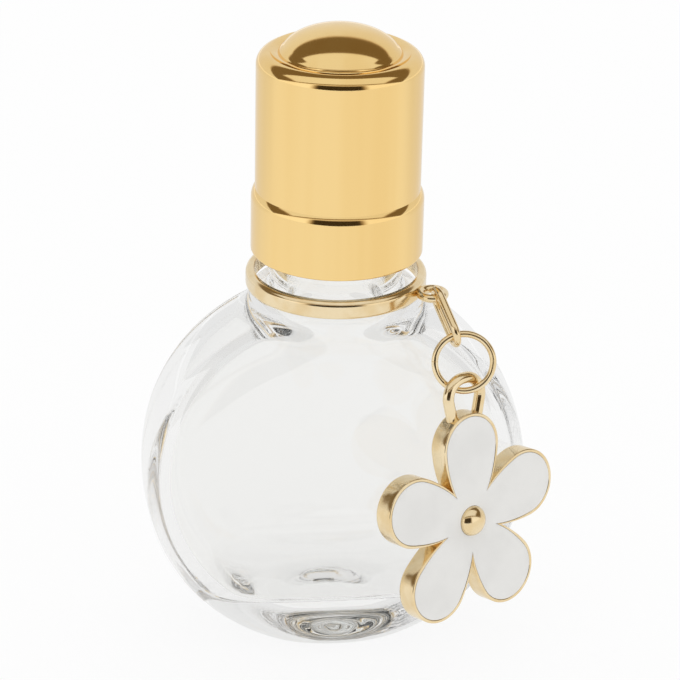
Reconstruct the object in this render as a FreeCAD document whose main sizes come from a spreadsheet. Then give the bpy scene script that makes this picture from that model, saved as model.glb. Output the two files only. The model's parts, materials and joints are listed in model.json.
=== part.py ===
"""Roll on bottle: a flat round glass bottle with a ball applicator, a two-step gold cap,
and a loose neck ring with a flower charm on a short chain.

Millimetres, +Z up. The origin is the middle of the base on the surface that the bottle
stands on, the flat front of the glass faces -Y, and the neck is on the Z axis.
"""
import math
import os

import FreeCAD, Part
import Sketcher
from FreeCAD import Matrix, Placement, Rotation, Vector

ZERO = None

# Driving sizes: name, value, what it is
SIZES = [
    ("body_radius", 20.6, "outline radius of the round glass body"),
    ("body_depth", 19.6, "front to back over the glass body"),
    ("body_edge_radius", 5.6, "rounding between a face and the side"),
    ("face_crown_radius", 180.0, "slight dome of the front and back faces"),
    ("side_crown_radius", 30.0, "slight crown of the side"),
    ("base_cut", 1.2, "how much of the round is flattened to stand on"),
    ("wall_side", 2.4, "glass at the side"),
    ("wall_face", 2.2, "glass at the front and back"),
    ("floor_thickness", 6.0, "heavy base under the hollow"),
    ("floor_edge_radius", 1.2, "rounding round the hollow's floor"),
    ("bore_blend_radius", 1.6, "rounding where the hollow runs into the neck"),
    ("push_up_radius", 4.4, "dimple pressed into the base"),
    ("push_up_depth", 0.7, "depth of that dimple"),
    ("neck_radius", 7.0, "outside of the neck under the thread"),
    ("neck_wall", 1.8, "glass of the neck"),
    ("neck_reach", 9.8, "neck inside the cap"),
    ("neck_lip_radius", 0.6, "rounding of the mouth"),
    ("neck_root_radius", 0.8, "rounding where the neck leaves its seat"),
    ("seat_drop", 0.2, "seat of the ring below the top of the round"),
    ("seat_depth", 8.4, "how far the seat's core goes down into the body"),
    ("seat_edge_radius", 0.5, "rounded edge of the seat"),
    ("seat_blend_radius", 1.6, "blend between the seat and the body"),
    ("fit_clearance", 0.02, "gap of a press fit as drawn"),
    ("plug_length", 7.0, "housing inside the neck"),
    ("plug_lead", 0.8, "length of the plug's tapered lead"),
    ("plug_taper", 0.4, "how much the plug draws in along its lead"),
    ("flange_overlap", 1.3, "flange of the housing over the neck's mouth"),
    ("flange_height", 1.2, "thickness of that flange"),
    ("head_inset", 0.8, "housing head inside the flange's edge"),
    ("lip_inset", 0.7, "taper of the head up to its lip"),
    ("lip_height", 1.5, "lip above the middle of the ball"),
    ("feed_radius", 2.4, "channel that feeds the ball"),
    ("ball_rise", 2.0, "middle of the ball above the neck's mouth"),
    ("ball_clearance", 0.05, "running gap of the ball in its socket"),
    ("socket_wall", 0.73, "housing wall round the ball"),
    ("thread_room", 0.75, "room between neck and liner for the thread"),
    ("liner_wall", 0.78, "liner beside the thread"),
    ("liner_inset", 0.4, "liner above the cap's lower edge"),
    ("seal_clearance", 0.1, "liner's seal above the flange"),
    ("head_room", 0.25, "liner clear of the housing's head"),
    ("ball_room", 1.0, "liner clear of the ball"),
    ("liner_top_wall", 1.2, "top of the liner"),
    ("cap_gap", 4.4, "cap's lower edge above the ring's seat"),
    ("cap_wall", 0.45, "drawn shell"),
    ("cap_height", 21.6, "lower edge to the crest of the rim"),
    ("band_height", 5.8, "wide lower band"),
    ("band_shoulder", 1.1, "rounded shoulder above the band"),
    ("band_inner_shoulder", 0.55, "slope inside that shoulder"),
    ("band_step", 0.4, "band stands out past the upper cap"),
    ("rim_radius", 1.42, "rounded top rim"),
    ("rim_width", 2.3, "outside of the cap to the foot of the dome"),
    ("rim_wrap", 25.0, "degrees that the rim's rounding runs past its crest"),
    ("top_wall", 0.6, "top plate under the groove"),
    ("ceiling_slope", 0.8, "sloped corner inside the rim"),
    ("dome_rise", 2.6, "top of the dome above the rim"),
    ("dome_sink", 0.7, "middle of the dome below the rim"),
    ("groove_radius", 0.22, "rounding at the foot of the dome"),
    ("ring_capture", 0.4, "ring's bore inside the cap's outline, so it can't come off"),
    ("ring_seat_gap", 0.3, "ring above its seat"),
    ("ring_height", 1.95, "band of the ring"),
    ("ring_edge", 0.5, "flat edge of the band"),
    ("ring_bulge", 0.4, "rounded outside of the band"),
    ("eyelet_radius", 1.25, "middle of the eyelet's wire"),
    ("eyelet_wire", 0.45, "radius of that wire"),
    ("eyelet_root", 0.25, "how far the eyelet is cast into the band"),
    ("eyelet_turn", -31.0, "degrees from +X to the eyelet"),
    ("chain_gap", 0.06, "play between wires that hang on each other"),
    ("bail_gap", 0.42, "play between the bail's bar and the jump ring, which cross at a slant"),
    ("link_wire", 0.4, "radius of the link's wire"),
    ("link_half_width", 1.3, "middle of the link to the middle of its wire"),
    ("link_turn", -70.0, "degrees from +X to the way the link leans"),
    ("link_dip", 36.5, "degrees that the link points down"),
    ("drape", 0.45, "jump ring's hold in front of the glass face"),
    ("jump_radius", 3.0, "middle of the jump ring's wire"),
    ("jump_wire", 0.35, "radius of that wire"),
    ("jump_turn", -97.4, "degrees from +X to the way the jump ring faces"),
    ("jump_lean", 12.0, "degrees that the jump ring leans back"),
    ("jump_hold", 21.0, "degrees from its top to where the link holds it"),
    ("jump_seam", 2.0, "degrees of the seam"),
    ("charm_slide", 2.0, "degrees along the jump ring from its foot to the bail"),
    ("charm_wrap_share", 2.3748299, "flower's turn from the front, to the turn of the edge by the eyelet"),
    ("charm_lean", 9.4, "degrees that the flower leans back"),
    ("charm_roll", -4.5, "degrees that the flower is turned in its own plane"),
    ("petals", 5, "number of petals"),
    ("petal_centre", 7.9, "flower's middle to the middle of a petal's round end"),
    ("petal_radius", 3.7, "round end of a petal"),
    ("notch_radius", 4.3, "flower's middle to the notch between two petals"),
    ("charm_thickness", 2.2, "back to rim"),
    ("rim_line", 0.35, "metal line round the enamel"),
    ("rim_notch", 0.8, "how much further in the enamel's notches reach"),
    ("enamel_depth", 0.7, "recess that holds the enamel"),
    ("enamel_dip", 0.08, "enamel below the rim"),
    ("bead_radius", 1.6, "bead in the middle of the flower"),
    ("bead_rise", 1.0, "bead above the rim"),
    ("bail_wire", 0.6, "radius of the bail's wire"),
    ("bail_half_width", 2.2, "middle of the bail to the middle of its wire"),
    ("bail_corner", 1.95, "rounding of the bail's arch"),
    ("bail_taper", 0.75, "how much the bail's legs draw in towards their feet"),
    ("bail_rise", 3.6, "bail's bar above the petal's end"),
    ("bail_root", 1.6, "bail's feet below the petal's end"),
    ("overrun", 1.0, "how far a cutting tool runs past the solid"),
]

# Worked out from the driving sizes: name, formula
PLACES = [
    ("half_depth", "Sizes.body_depth / 2"),
    ("body_centre", "Sizes.body_radius - Sizes.base_cut"),
    ("side_centre", "Sizes.body_radius - Sizes.side_crown_radius"),
    ("face_centre", "half_depth - Sizes.face_crown_radius"),
    ("hollow_radius", "Sizes.body_radius - Sizes.wall_side"),
    ("hollow_half_depth", "half_depth - Sizes.wall_face"),
    ("hollow_edge_radius", "Sizes.body_edge_radius - Sizes.wall_face"),
    ("hollow_side_radius", "Sizes.side_crown_radius - Sizes.wall_side"),
    ("hollow_face_radius", "Sizes.face_crown_radius - Sizes.wall_face"),
    ("hollow_side_centre", "hollow_radius - hollow_side_radius"),
    ("hollow_face_centre", "hollow_half_depth - hollow_face_radius"),
    ("base_level", "-body_centre"),
    ("floor_level", "Sizes.floor_thickness - body_centre"),
    ("cut_length", "2 * (Sizes.body_radius + Sizes.overrun)"),
    ("cut_width", "2 * (half_depth + Sizes.overrun)"),
    ("cut_x", "-cut_length / 2"),
    ("cut_y", "-cut_width / 2"),
    ("cut_level", "-Sizes.body_radius - Sizes.overrun"),
    ("base_cut_height", "base_level - cut_level"),
    ("floor_cut_height", "floor_level - cut_level"),
    ("push_up_curve", "(Sizes.push_up_radius ^ 2 + Sizes.push_up_depth ^ 2) / (2 * Sizes.push_up_depth)"),
    ("push_up_level", "base_level + Sizes.push_up_depth"),
    ("base_overrun", "base_level - Sizes.overrun"),
    ("neck_bore", "Sizes.neck_radius - Sizes.neck_wall"),
    ("liner_bore", "Sizes.neck_radius + Sizes.thread_room"),
    ("liner_radius", "liner_bore + Sizes.liner_wall"),
    ("liner_upper_radius", "liner_radius - Sizes.band_step"),
    ("cap_bore", "liner_radius + Sizes.fit_clearance"),
    ("cap_upper_bore", "cap_bore - Sizes.band_step"),
    ("cap_radius", "cap_bore + Sizes.cap_wall"),
    ("cap_upper_radius", "cap_radius - Sizes.band_step"),
    ("seat_radius", "cap_radius"),
    ("seat_level", "Sizes.body_radius - Sizes.seat_drop"),
    ("seat_foot", "seat_level - Sizes.seat_depth"),
    ("cap_bottom", "seat_level + Sizes.cap_gap"),
    ("neck_mouth", "cap_bottom + Sizes.neck_reach"),
    ("neck_overrun", "neck_mouth + Sizes.overrun"),
    ("plug_radius", "neck_bore - Sizes.fit_clearance"),
    ("plug_tip_radius", "plug_radius - Sizes.plug_taper"),
    ("plug_bottom", "neck_mouth - Sizes.plug_length"),
    ("plug_lead_level", "plug_bottom + Sizes.plug_lead"),
    ("flange_radius", "neck_bore + Sizes.flange_overlap"),
    ("flange_top", "neck_mouth + Sizes.flange_height"),
    ("head_radius", "flange_radius - Sizes.head_inset"),
    ("socket_radius", "plug_radius - Sizes.socket_wall"),
    ("ball_radius", "socket_radius - Sizes.ball_clearance"),
    ("ball_centre", "neck_mouth + Sizes.ball_rise"),
    ("lip_level", "ball_centre + Sizes.lip_height"),
    ("lip_radius", "head_radius - Sizes.lip_inset"),
    ("mouth_radius", "sqrt(socket_radius ^ 2 - Sizes.lip_height ^ 2)"),
    ("socket_foot", "ball_centre - sqrt(socket_radius ^ 2 - Sizes.feed_radius ^ 2)"),
    ("ball_top", "ball_centre + ball_radius"),
    ("liner_bottom", "cap_bottom + Sizes.liner_inset"),
    ("seal_level", "flange_top + Sizes.seal_clearance"),
    ("liner_room", "head_radius + Sizes.head_room"),
    ("liner_ceiling", "ball_top + Sizes.ball_room"),
    ("liner_top", "liner_ceiling + Sizes.liner_top_wall"),
    ("band_top", "cap_bottom + Sizes.band_height"),
    ("band_shoulder_top", "band_top + Sizes.band_shoulder"),
    ("band_inner_top", "band_top + Sizes.band_inner_shoulder"),
    ("liner_step_top", "band_inner_top - Sizes.seal_clearance"),
    ("liner_step_bottom", "band_top - Sizes.seal_clearance"),
    ("shoulder_radius", "(Sizes.band_step ^ 2 + Sizes.band_shoulder ^ 2) / (2 * Sizes.band_step)"),
    ("rim_crest", "cap_bottom + Sizes.cap_height"),
    ("rim_start", "rim_crest - Sizes.rim_radius"),
    ("rim_middle", "cap_upper_radius - Sizes.rim_radius"),
    ("rim_inner", "rim_middle - Sizes.rim_radius * sin(Sizes.rim_wrap * 1 deg)"),
    ("groove_level", "rim_start + Sizes.rim_radius * cos(Sizes.rim_wrap * 1 deg)"),
    ("ceiling_level", "groove_level - Sizes.top_wall"),
    ("ceiling_radius", "cap_upper_bore - Sizes.ceiling_slope"),
    ("ceiling_start", "ceiling_level - Sizes.ceiling_slope"),
    ("dome_radius", "cap_upper_radius - Sizes.rim_width"),
    ("dome_centre", "rim_crest - Sizes.dome_sink"),
    ("dome_height", "Sizes.dome_rise + Sizes.dome_sink"),
    ("dome_bore", "dome_radius - Sizes.top_wall"),
    ("dome_inner_height", "dome_height - Sizes.cap_wall"),
    ("ring_bore", "cap_radius - Sizes.ring_capture"),
    ("ring_edge_radius", "ring_bore + Sizes.ring_edge"),
    ("ring_radius", "ring_edge_radius + Sizes.ring_bulge"),
    ("ring_bottom", "seat_level + Sizes.ring_seat_gap"),
    ("ring_top", "ring_bottom + Sizes.ring_height"),
    ("ring_middle", "ring_bottom + Sizes.ring_height / 2"),
    ("bulge_radius", "((Sizes.ring_height / 2) ^ 2 + Sizes.ring_bulge ^ 2) / (2 * Sizes.ring_bulge)"),
    ("eyelet_reach", "ring_radius - Sizes.eyelet_root + Sizes.eyelet_radius + Sizes.eyelet_wire"),
    ("eyelet_x", "eyelet_reach * cos(Sizes.eyelet_turn * 1 deg)"),
    ("eyelet_y", "eyelet_reach * sin(Sizes.eyelet_turn * 1 deg)"),
    ("edge_fall", "Sizes.body_radius * sqrt(Sizes.body_radius ^ 2 - eyelet_x ^ 2)"),
    ("edge_turn", "atan(eyelet_x * half_depth / edge_fall) / 1 deg"),
    ("charm_turn", "Sizes.charm_wrap_share * edge_turn - 90"),
    ("hold_y", "eyelet_y + Sizes.eyelet_radius * sin(Sizes.link_turn * 1 deg)"),
    ("link_lean", "-cos(Sizes.link_dip * 1 deg) * sin(Sizes.link_turn * 1 deg)"),
    ("link_span", "(half_depth + Sizes.drape + hold_y) / link_lean"),
    ("link_upper_hold", "Sizes.eyelet_wire + Sizes.link_wire + Sizes.chain_gap"),
    ("link_lower_hold", "Sizes.jump_wire + Sizes.link_wire + Sizes.chain_gap"),
    ("link_length", "link_span + link_upper_hold + link_lower_hold"),
    ("link_end", "link_length / 2"),
    ("link_end_low", "-link_end"),
    ("link_straight", "link_end - Sizes.link_half_width"),
    ("link_straight_low", "-link_straight"),
    ("link_far_side", "-Sizes.link_half_width"),
    ("petal_angle", "360 deg / Sizes.petals"),
    ("notch_angle", "petal_angle / 2"),
    ("petal_tip", "Sizes.petal_centre + Sizes.petal_radius"),
    ("recess_petal", "Sizes.petal_radius - Sizes.rim_line"),
    ("recess_notch", "Sizes.notch_radius - Sizes.rim_notch"),
    ("enamel_floor", "Sizes.charm_thickness - Sizes.enamel_depth"),
    ("enamel_thickness", "Sizes.enamel_depth - Sizes.enamel_dip"),
    ("bead_height", "Sizes.enamel_depth + Sizes.bead_rise"),
    ("bead_curve", "(Sizes.bead_radius ^ 2 + Sizes.bead_rise ^ 2) / (2 * Sizes.bead_rise)"),
    ("bead_top", "Sizes.charm_thickness + Sizes.bead_rise"),
    ("bead_hole", "Sizes.bead_radius + Sizes.fit_clearance"),
    ("bail_level", "Sizes.charm_thickness / 2"),
    ("bail_bar", "petal_tip + Sizes.bail_rise"),
    ("bail_foot", "petal_tip - Sizes.bail_root"),
    ("bail_foot_x", "Sizes.bail_half_width - Sizes.bail_taper"),
    ("bail_corner_x", "Sizes.bail_half_width - Sizes.bail_corner"),
    ("bail_corner_y", "bail_bar - Sizes.bail_corner"),
    ("bail_across", "bail_foot_x - bail_corner_x"),
    ("bail_drop", "bail_corner_y - bail_foot"),
    ("bail_reach", "sqrt(bail_across ^ 2 + bail_drop ^ 2)"),
    ("bail_lean", "asin(Sizes.bail_corner / bail_reach) - atan(bail_across / bail_drop)"),
    ("bail_side_x", "bail_corner_x + Sizes.bail_corner * cos(bail_lean)"),
    ("bail_side_y", "bail_corner_y - Sizes.bail_corner * sin(bail_lean)"),
    ("hole_foot", "enamel_floor - Sizes.overrun"),
    ("hole_height", "Sizes.charm_thickness"),
    ("charm_hold", "Sizes.jump_wire + Sizes.bail_wire + Sizes.bail_gap"),
]

FULL_TURN = 360.0
SAMPLES = 9
CENTRE = 3


def petal_places(kind, radius, notch):
    """Formulas for a petal: straight sides from the notches, tangent to the round end."""
    return [
        (kind + "_notch_x", "%s * sin(notch_angle)" % notch),
        (kind + "_notch_y", "%s * cos(notch_angle)" % notch),
        (kind + "_drop", "Sizes.petal_centre - %s_notch_y" % kind),
        (kind + "_reach", "sqrt({0}_notch_x ^ 2 + {0}_drop ^ 2)".format(kind)),
        (kind + "_lean", "asin({1} / {0}_reach) - atan({0}_notch_x / {0}_drop)".format(kind, radius)),
        (kind + "_side_x", "{1} * cos({0}_lean)".format(kind, radius)),
        (kind + "_side_y", "Sizes.petal_centre - {1} * sin({0}_lean)".format(kind, radius)),
        (kind + "_end_y", "Sizes.petal_centre + %s" % radius),
        (kind + "_notch_far", "-%s_notch_x" % kind),
        (kind + "_side_far", "-%s_side_x" % kind),
    ]


# Three outlines of a petal: the metal's, its recess and the enamel that fills the recess with a fit
PLACES += petal_places("metal", "Sizes.petal_radius", "Sizes.notch_radius")
PLACES += petal_places("recess", "recess_petal", "recess_notch")
PLACES += [
    ("enamel_petal", "recess_petal - Sizes.fit_clearance"),
    ("enamel_notch", "recess_notch - Sizes.fit_clearance / sin(notch_angle - recess_lean)"),
]
PLACES += petal_places("enamel", "enamel_petal", "enamel_notch")

doc = FreeCAD.newDocument("roll_on_bottle")


def fill_sheet(name, rows):
    """A sheet with one named cell a row: its words in column A and its value in column B."""
    sheet = doc.addObject("Spreadsheet::Sheet", name)
    for number, (alias, text, words) in enumerate(rows, start=1):
        sheet.set("A%d" % number, words)
        sheet.set("B%d" % number, text)
        sheet.setAlias("B%d" % number, alias)
    return sheet


sizes = fill_sheet("Sizes", [(alias, str(value), words) for alias, value, words in SIZES])
places = fill_sheet("Places", [(alias, "=" + formula, formula) for alias, formula in PLACES])
doc.recompute()

DRIVING = {alias for alias, value, words in SIZES}


def cell(alias):
    """The expression that reads a named cell."""
    return ("Sizes." if alias in DRIVING else "Places.") + alias


def size(alias):
    """The number in a named cell, with no name for zero."""
    if alias is ZERO:
        return 0.0
    return float((sizes if alias in DRIVING else places).get(alias))


def new_body(label):
    body = doc.addObject("PartDesign::Body", label)
    body.Label = label
    return body


def on_plane(body, kind, name, role):
    """A sketch or primitive of a body, attached to one of the body's own origin planes."""
    item = body.newObject(kind, name)
    plane = [feature for feature in body.Origin.OriginFeatures if feature.Role == role][0]
    item.AttachmentSupport = [(plane, "")]
    item.MapMode = "FlatFace"
    return item


def pin_point(sketch, curve, end, across, along):
    """Hold one end of a curve at named distances from the sketch's origin."""
    for kind, axis, alias in (("DistanceX", -2, across), ("DistanceY", -1, along)):
        if alias is ZERO:
            sketch.addConstraint(Sketcher.Constraint("PointOnObject", curve, end, axis))
            continue
        index = sketch.addConstraint(Sketcher.Constraint(kind, -1, 1, curve, end, size(alias)))
        sketch.setExpression("Constraints[%d]" % index, cell(alias))


def bind_radius(sketch, curve, alias):
    index = sketch.addConstraint(Sketcher.Constraint("Radius", curve, size(alias)))
    sketch.setExpression("Constraints[%d]" % index, cell(alias))


def arc_between(start, finish, radius, side):
    """The shorter arc between two points, with its centre on the left (1) or right (-1)."""
    chord = finish - start
    across = Vector(-chord.y, chord.x, 0) / chord.Length
    rise = math.sqrt(max(radius ** 2 - (chord.Length / 2) ** 2, 0.0))
    centre = start + chord / 2 + across * rise * side
    first, last = (start, finish) if side > 0 else (finish, start)
    angles = [math.atan2(point.y - centre.y, point.x - centre.x) for point in (first, last)]
    return Part.ArcOfCircle(Part.Circle(centre, Vector(0, 0, 1), radius), *angles)


def draw(sketch, corners, arcs=None, closed=True):
    """An outline through named corners, with straight sides or arcs.

    arcs maps the number of a side to the name of its radius and the side of its centre.
    """
    arcs = arcs or {}
    points = [Vector(size(across), size(along), 0) for across, along in corners]
    sides = len(points) if closed else len(points) - 1
    ends = []
    for number in range(sides):
        start, finish = points[number], points[(number + 1) % len(points)]
        if number in arcs:
            radius, side = arcs[number]
            curve = sketch.addGeometry(arc_between(start, finish, size(radius), side))
            ends.append((curve, 1, 2) if side > 0 else (curve, 2, 1))
        else:
            curve = sketch.addGeometry(Part.LineSegment(start, finish))
            ends.append((curve, 1, 2))
    for number in range(sides if closed else sides - 1):
        curve, first, last = ends[number]
        next_curve, next_first, next_last = ends[(number + 1) % sides]
        sketch.addConstraint(Sketcher.Constraint("Coincident", curve, last, next_curve, next_first))
    for number, (across, along) in enumerate(corners):
        curve, first, last = ends[min(number, sides - 1)]
        pin_point(sketch, curve, first if number < sides else last, across, along)
    for number, (radius, side) in arcs.items():
        bind_radius(sketch, ends[number][0], radius)
    return sketch


def revolve(body, name, role, corners, arcs=None, kind="PartDesign::Revolution"):
    """Turn a closed outline round the upright axis of its sketch."""
    sketch = draw(on_plane(body, "Sketcher::SketchObject", name + "_profile", role), corners, arcs)
    turned = body.newObject(kind, name)
    turned.Profile = sketch
    turned.ReferenceAxis = (sketch, ["V_Axis"])
    turned.Angle = FULL_TURN
    body.Tip = turned
    return turned


def sweep_wire(body, name, path, role, across, along, radius):
    """A round wire along a path that starts square to one of the body's planes."""
    section = on_plane(body, "Sketcher::SketchObject", name + "_section", role)
    spot = Vector(size(across), size(along), 0)
    curve = section.addGeometry(Part.Circle(spot, Vector(0, 0, 1), size(radius)))
    pin_point(section, curve, CENTRE, across, along)
    bind_radius(section, curve, radius)
    doc.recompute()
    swept = body.newObject("PartDesign::AdditivePipe", name)
    swept.Profile = section
    swept.Spine = path
    body.Tip = swept
    return swept


def pad(body, name, sketch, alias, kind="PartDesign::Pad"):
    """Push a sketch out, or with a pocket in, by a named length."""
    pushed = body.newObject(kind, name)
    pushed.Profile = sketch
    pushed.setExpression("Length", cell(alias))
    body.Tip = pushed
    return pushed


def primitive(body, kind, name, role, spot, **bound):
    """A primitive at named distances along its plane's axes, with its own sizes bound by name."""
    item = on_plane(body, kind, name, role)
    for axis, alias in zip("xyz", spot):
        if alias is not ZERO:
            item.setExpression("AttachmentOffset.Base." + axis, cell(alias))
    for prop, alias in bound.items():
        item.setExpression(prop, cell(alias))
    body.Tip = item
    return item


def fillet(body, name, alias, wanted):
    """Round the edges of the body's last feature for which wanted(edge) is true."""
    doc.recompute()
    base = body.Tip
    names = ["Edge%d" % number for number, edge in enumerate(base.Shape.Edges, start=1)
             if not edge.Degenerated and wanted(edge)]
    rounded = body.newObject("PartDesign::Fillet", name)
    rounded.Base = (base, names)
    rounded.setExpression("Radius", cell(alias))
    body.Tip = rounded
    return rounded


def same(first, second):
    """Whether two lengths agree to a small share of the thinnest wall."""
    match_share = 0.01
    return abs(first - second) < size("cap_wall") * match_share


def circle_at(radius, level):
    """A test for a level circle of this named radius at this named height."""
    def wanted(edge):
        curve = edge.Curve
        if not isinstance(curve, Part.Circle):
            return False
        return same(curve.Radius, size(radius)) and same(curve.Center.z, size(level))
    return wanted


def level_curve(level, radius):
    """A test for a curve at this named height, nearer the Z axis than this named radius."""
    def wanted(edge):
        spots = edge.discretize(Number=SAMPLES)
        return all(same(spot.z, size(level)) and math.hypot(spot.x, spot.y) < size(radius) for spot in spots)
    return wanted


def foot_of(radius, level):
    """A test for the curve where an upright cylinder comes out of the body, below a named height."""
    def wanted(edge):
        if isinstance(edge.Curve, (Part.Line, Part.Circle)):
            return False
        spots = edge.discretize(Number=SAMPLES)
        reaches = [math.hypot(spot.x, spot.y) for spot in spots]
        below = all(0 < spot.z < size(level) for spot in spots)
        return below and all(same(reach, size(radius)) for reach in reaches)
    return wanted


def pebble(body, name, half_depth, edge, side, face, side_centre, face_centre, kind):
    """A flat round pebble turned round Y: two crowned faces, a crowned side and rounded edges.

    The rounded edge is tangent to the face's arc, whose centre is on the axis, and to the
    side's arc, whose centre is in the middle plane.
    """
    sketch = on_plane(body, "Sketcher::SketchObject", name + "_profile", "XY_Plane")
    side_spot = Vector(size(side_centre), 0, 0)
    face_spot = Vector(0, size(face_centre), 0)
    gap = side_spot - face_spot
    to_side = size(side) - size(edge)
    to_face = size(face) - size(edge)
    along = (to_face ** 2 - to_side ** 2 + gap.Length ** 2) / (2 * gap.Length)
    across = math.sqrt(to_face ** 2 - along ** 2)
    unit = gap / gap.Length
    edge_spot = face_spot + unit * along + Vector(unit.y, -unit.x, 0) * across
    side_end = side_spot + (edge_spot - side_spot).normalize() * size(side)
    face_end = face_spot + (edge_spot - face_spot).normalize() * size(face)
    top = Vector(0, size(half_depth), 0)

    def mirrored(point):
        return Vector(point.x, -point.y, 0)

    curves = [
        (mirrored(top), mirrored(face_end), face),
        (mirrored(face_end), mirrored(side_end), edge),
        (mirrored(side_end), side_end, side),
        (side_end, face_end, edge),
        (face_end, top, face),
    ]
    numbers = [sketch.addGeometry(arc_between(a, b, size(radius_name), 1)) for a, b, radius_name in curves]
    axis_line = sketch.addGeometry(Part.LineSegment(top, mirrored(top)))
    for first, second in zip(numbers, numbers[1:]):
        sketch.addConstraint(Sketcher.Constraint("Tangent", first, 2, second, 1))
    sketch.addConstraint(Sketcher.Constraint("Coincident", numbers[-1], 2, axis_line, 1))
    sketch.addConstraint(Sketcher.Constraint("Coincident", axis_line, 2, numbers[0], 1))
    for number, (a, b, radius_name) in zip(numbers, curves):
        bind_radius(sketch, number, radius_name)
    pin_point(sketch, numbers[2], CENTRE, side_centre, ZERO)
    pin_point(sketch, numbers[4], CENTRE, ZERO, face_centre)
    sketch.addConstraint(Sketcher.Constraint("PointOnObject", numbers[0], CENTRE, -2))
    sketch.addConstraint(Sketcher.Constraint("PointOnObject", numbers[4], 2, -2))
    sketch.addConstraint(Sketcher.Constraint("PointOnObject", numbers[0], 1, -2))
    turned = body.newObject(kind, name)
    turned.Profile = sketch
    turned.ReferenceAxis = (sketch, ["V_Axis"])
    turned.Angle = FULL_TURN
    body.Tip = turned
    return turned


# Glass: the pebble with its flat base, the seat and the neck, less the hollow
outer = new_body("glass_outer")
pebble(outer, "round", "half_depth", "body_edge_radius", "side_crown_radius",
       "face_crown_radius", "side_centre", "face_centre", "PartDesign::Revolution")
primitive(outer, "PartDesign::SubtractiveBox", "base_flat", "XY_Plane", ("cut_x", "cut_y", "cut_level"),
          Length="cut_length", Width="cut_width", Height="base_cut_height")
revolve(outer, "neck", "XZ_Plane", [
    (ZERO, "seat_foot"),
    ("seat_radius", "seat_foot"),
    ("seat_radius", "seat_level"),
    ("neck_radius", "seat_level"),
    ("neck_radius", "neck_mouth"),
    (ZERO, "neck_mouth"),
])
fillet(outer, "seat_blend", "seat_blend_radius", foot_of("seat_radius", "seat_level"))
fillet(outer, "seat_edge", "seat_edge_radius", circle_at("seat_radius", "seat_level"))
fillet(outer, "neck_root", "neck_root_radius", circle_at("neck_radius", "seat_level"))
fillet(outer, "neck_lip", "neck_lip_radius", circle_at("neck_radius", "neck_mouth"))
revolve(outer, "push_up", "XZ_Plane", [
    (ZERO, "base_overrun"),
    ("push_up_radius", "base_overrun"),
    ("push_up_radius", "base_level"),
    (ZERO, "push_up_level"),
], {2: ("push_up_curve", 1)}, "PartDesign::Groove")

hollow = new_body("glass_hollow")
pebble(hollow, "inner_round", "hollow_half_depth", "hollow_edge_radius", "hollow_side_radius",
       "hollow_face_radius", "hollow_side_centre", "hollow_face_centre", "PartDesign::Revolution")
primitive(hollow, "PartDesign::SubtractiveBox", "floor_flat", "XY_Plane", ("cut_x", "cut_y", "cut_level"),
          Length="cut_length", Width="cut_width", Height="floor_cut_height")
revolve(hollow, "bore", "XZ_Plane", [
    (ZERO, ZERO),
    ("neck_bore", ZERO),
    ("neck_bore", "neck_overrun"),
    (ZERO, "neck_overrun"),
])
fillet(hollow, "bore_blend", "bore_blend_radius", foot_of("neck_bore", "neck_mouth"))
fillet(hollow, "floor_edge", "floor_edge_radius", level_curve("floor_level", "body_radius"))
doc.recompute()
glass = doc.addObject("Part::Cut", "glass_bottle")
glass.Label = "glass_bottle"
glass.Base = outer
glass.Tool = hollow

# Ball and the housing that is pressed into the neck
housing = new_body("roller_housing")
revolve(housing, "housing", "XZ_Plane", [
    ("feed_radius", "plug_bottom"),
    ("plug_tip_radius", "plug_bottom"),
    ("plug_radius", "plug_lead_level"),
    ("plug_radius", "neck_mouth"),
    ("flange_radius", "neck_mouth"),
    ("flange_radius", "flange_top"),
    ("head_radius", "flange_top"),
    ("lip_radius", "lip_level"),
    ("mouth_radius", "lip_level"),
    ("feed_radius", "socket_foot"),
], {8: ("socket_radius", -1)})
ball = doc.addObject("Part::Sphere", "roller_ball")
ball.Label = "roller_ball"
ball.setExpression("Radius", cell("ball_radius"))

# Cap: drawn shell with a rolled rim and a dome, and the liner that is pressed into it
shell = new_body("cap_shell")
revolve(shell, "wall", "XZ_Plane", [
    ("cap_bore", "cap_bottom"),
    ("cap_radius", "cap_bottom"),
    ("cap_radius", "band_top"),
    ("cap_upper_radius", "band_shoulder_top"),
    ("cap_upper_radius", "rim_start"),
    ("rim_inner", "groove_level"),
    (ZERO, "groove_level"),
    (ZERO, "ceiling_level"),
    ("ceiling_radius", "ceiling_level"),
    ("cap_upper_bore", "ceiling_start"),
    ("cap_upper_bore", "band_inner_top"),
    ("cap_bore", "band_top"),
], {2: ("shoulder_radius", 1), 4: ("rim_radius", 1)})
dome = primitive(shell, "PartDesign::AdditiveEllipsoid", "dome", "XY_Plane", (ZERO, ZERO, "dome_centre"),
                 Radius1="dome_height", Radius2="dome_radius", Radius3="dome_radius")
dome.Angle1 = 0.0
fillet(shell, "groove", "groove_radius", level_curve("groove_level", "dome_radius"))
primitive(shell, "PartDesign::SubtractiveEllipsoid", "dome_hollow", "XY_Plane", (ZERO, ZERO, "dome_centre"),
          Radius1="dome_inner_height", Radius2="dome_bore", Radius3="dome_bore")

liner = new_body("cap_liner")
revolve(liner, "liner", "XZ_Plane", [
    ("liner_bore", "liner_bottom"),
    ("liner_radius", "liner_bottom"),
    ("liner_radius", "liner_step_bottom"),
    ("liner_upper_radius", "liner_step_top"),
    ("liner_upper_radius", "liner_top"),
    (ZERO, "liner_top"),
    (ZERO, "liner_ceiling"),
    ("liner_room", "liner_ceiling"),
    ("liner_room", "seal_level"),
    ("liner_bore", "seal_level"),
])

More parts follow.
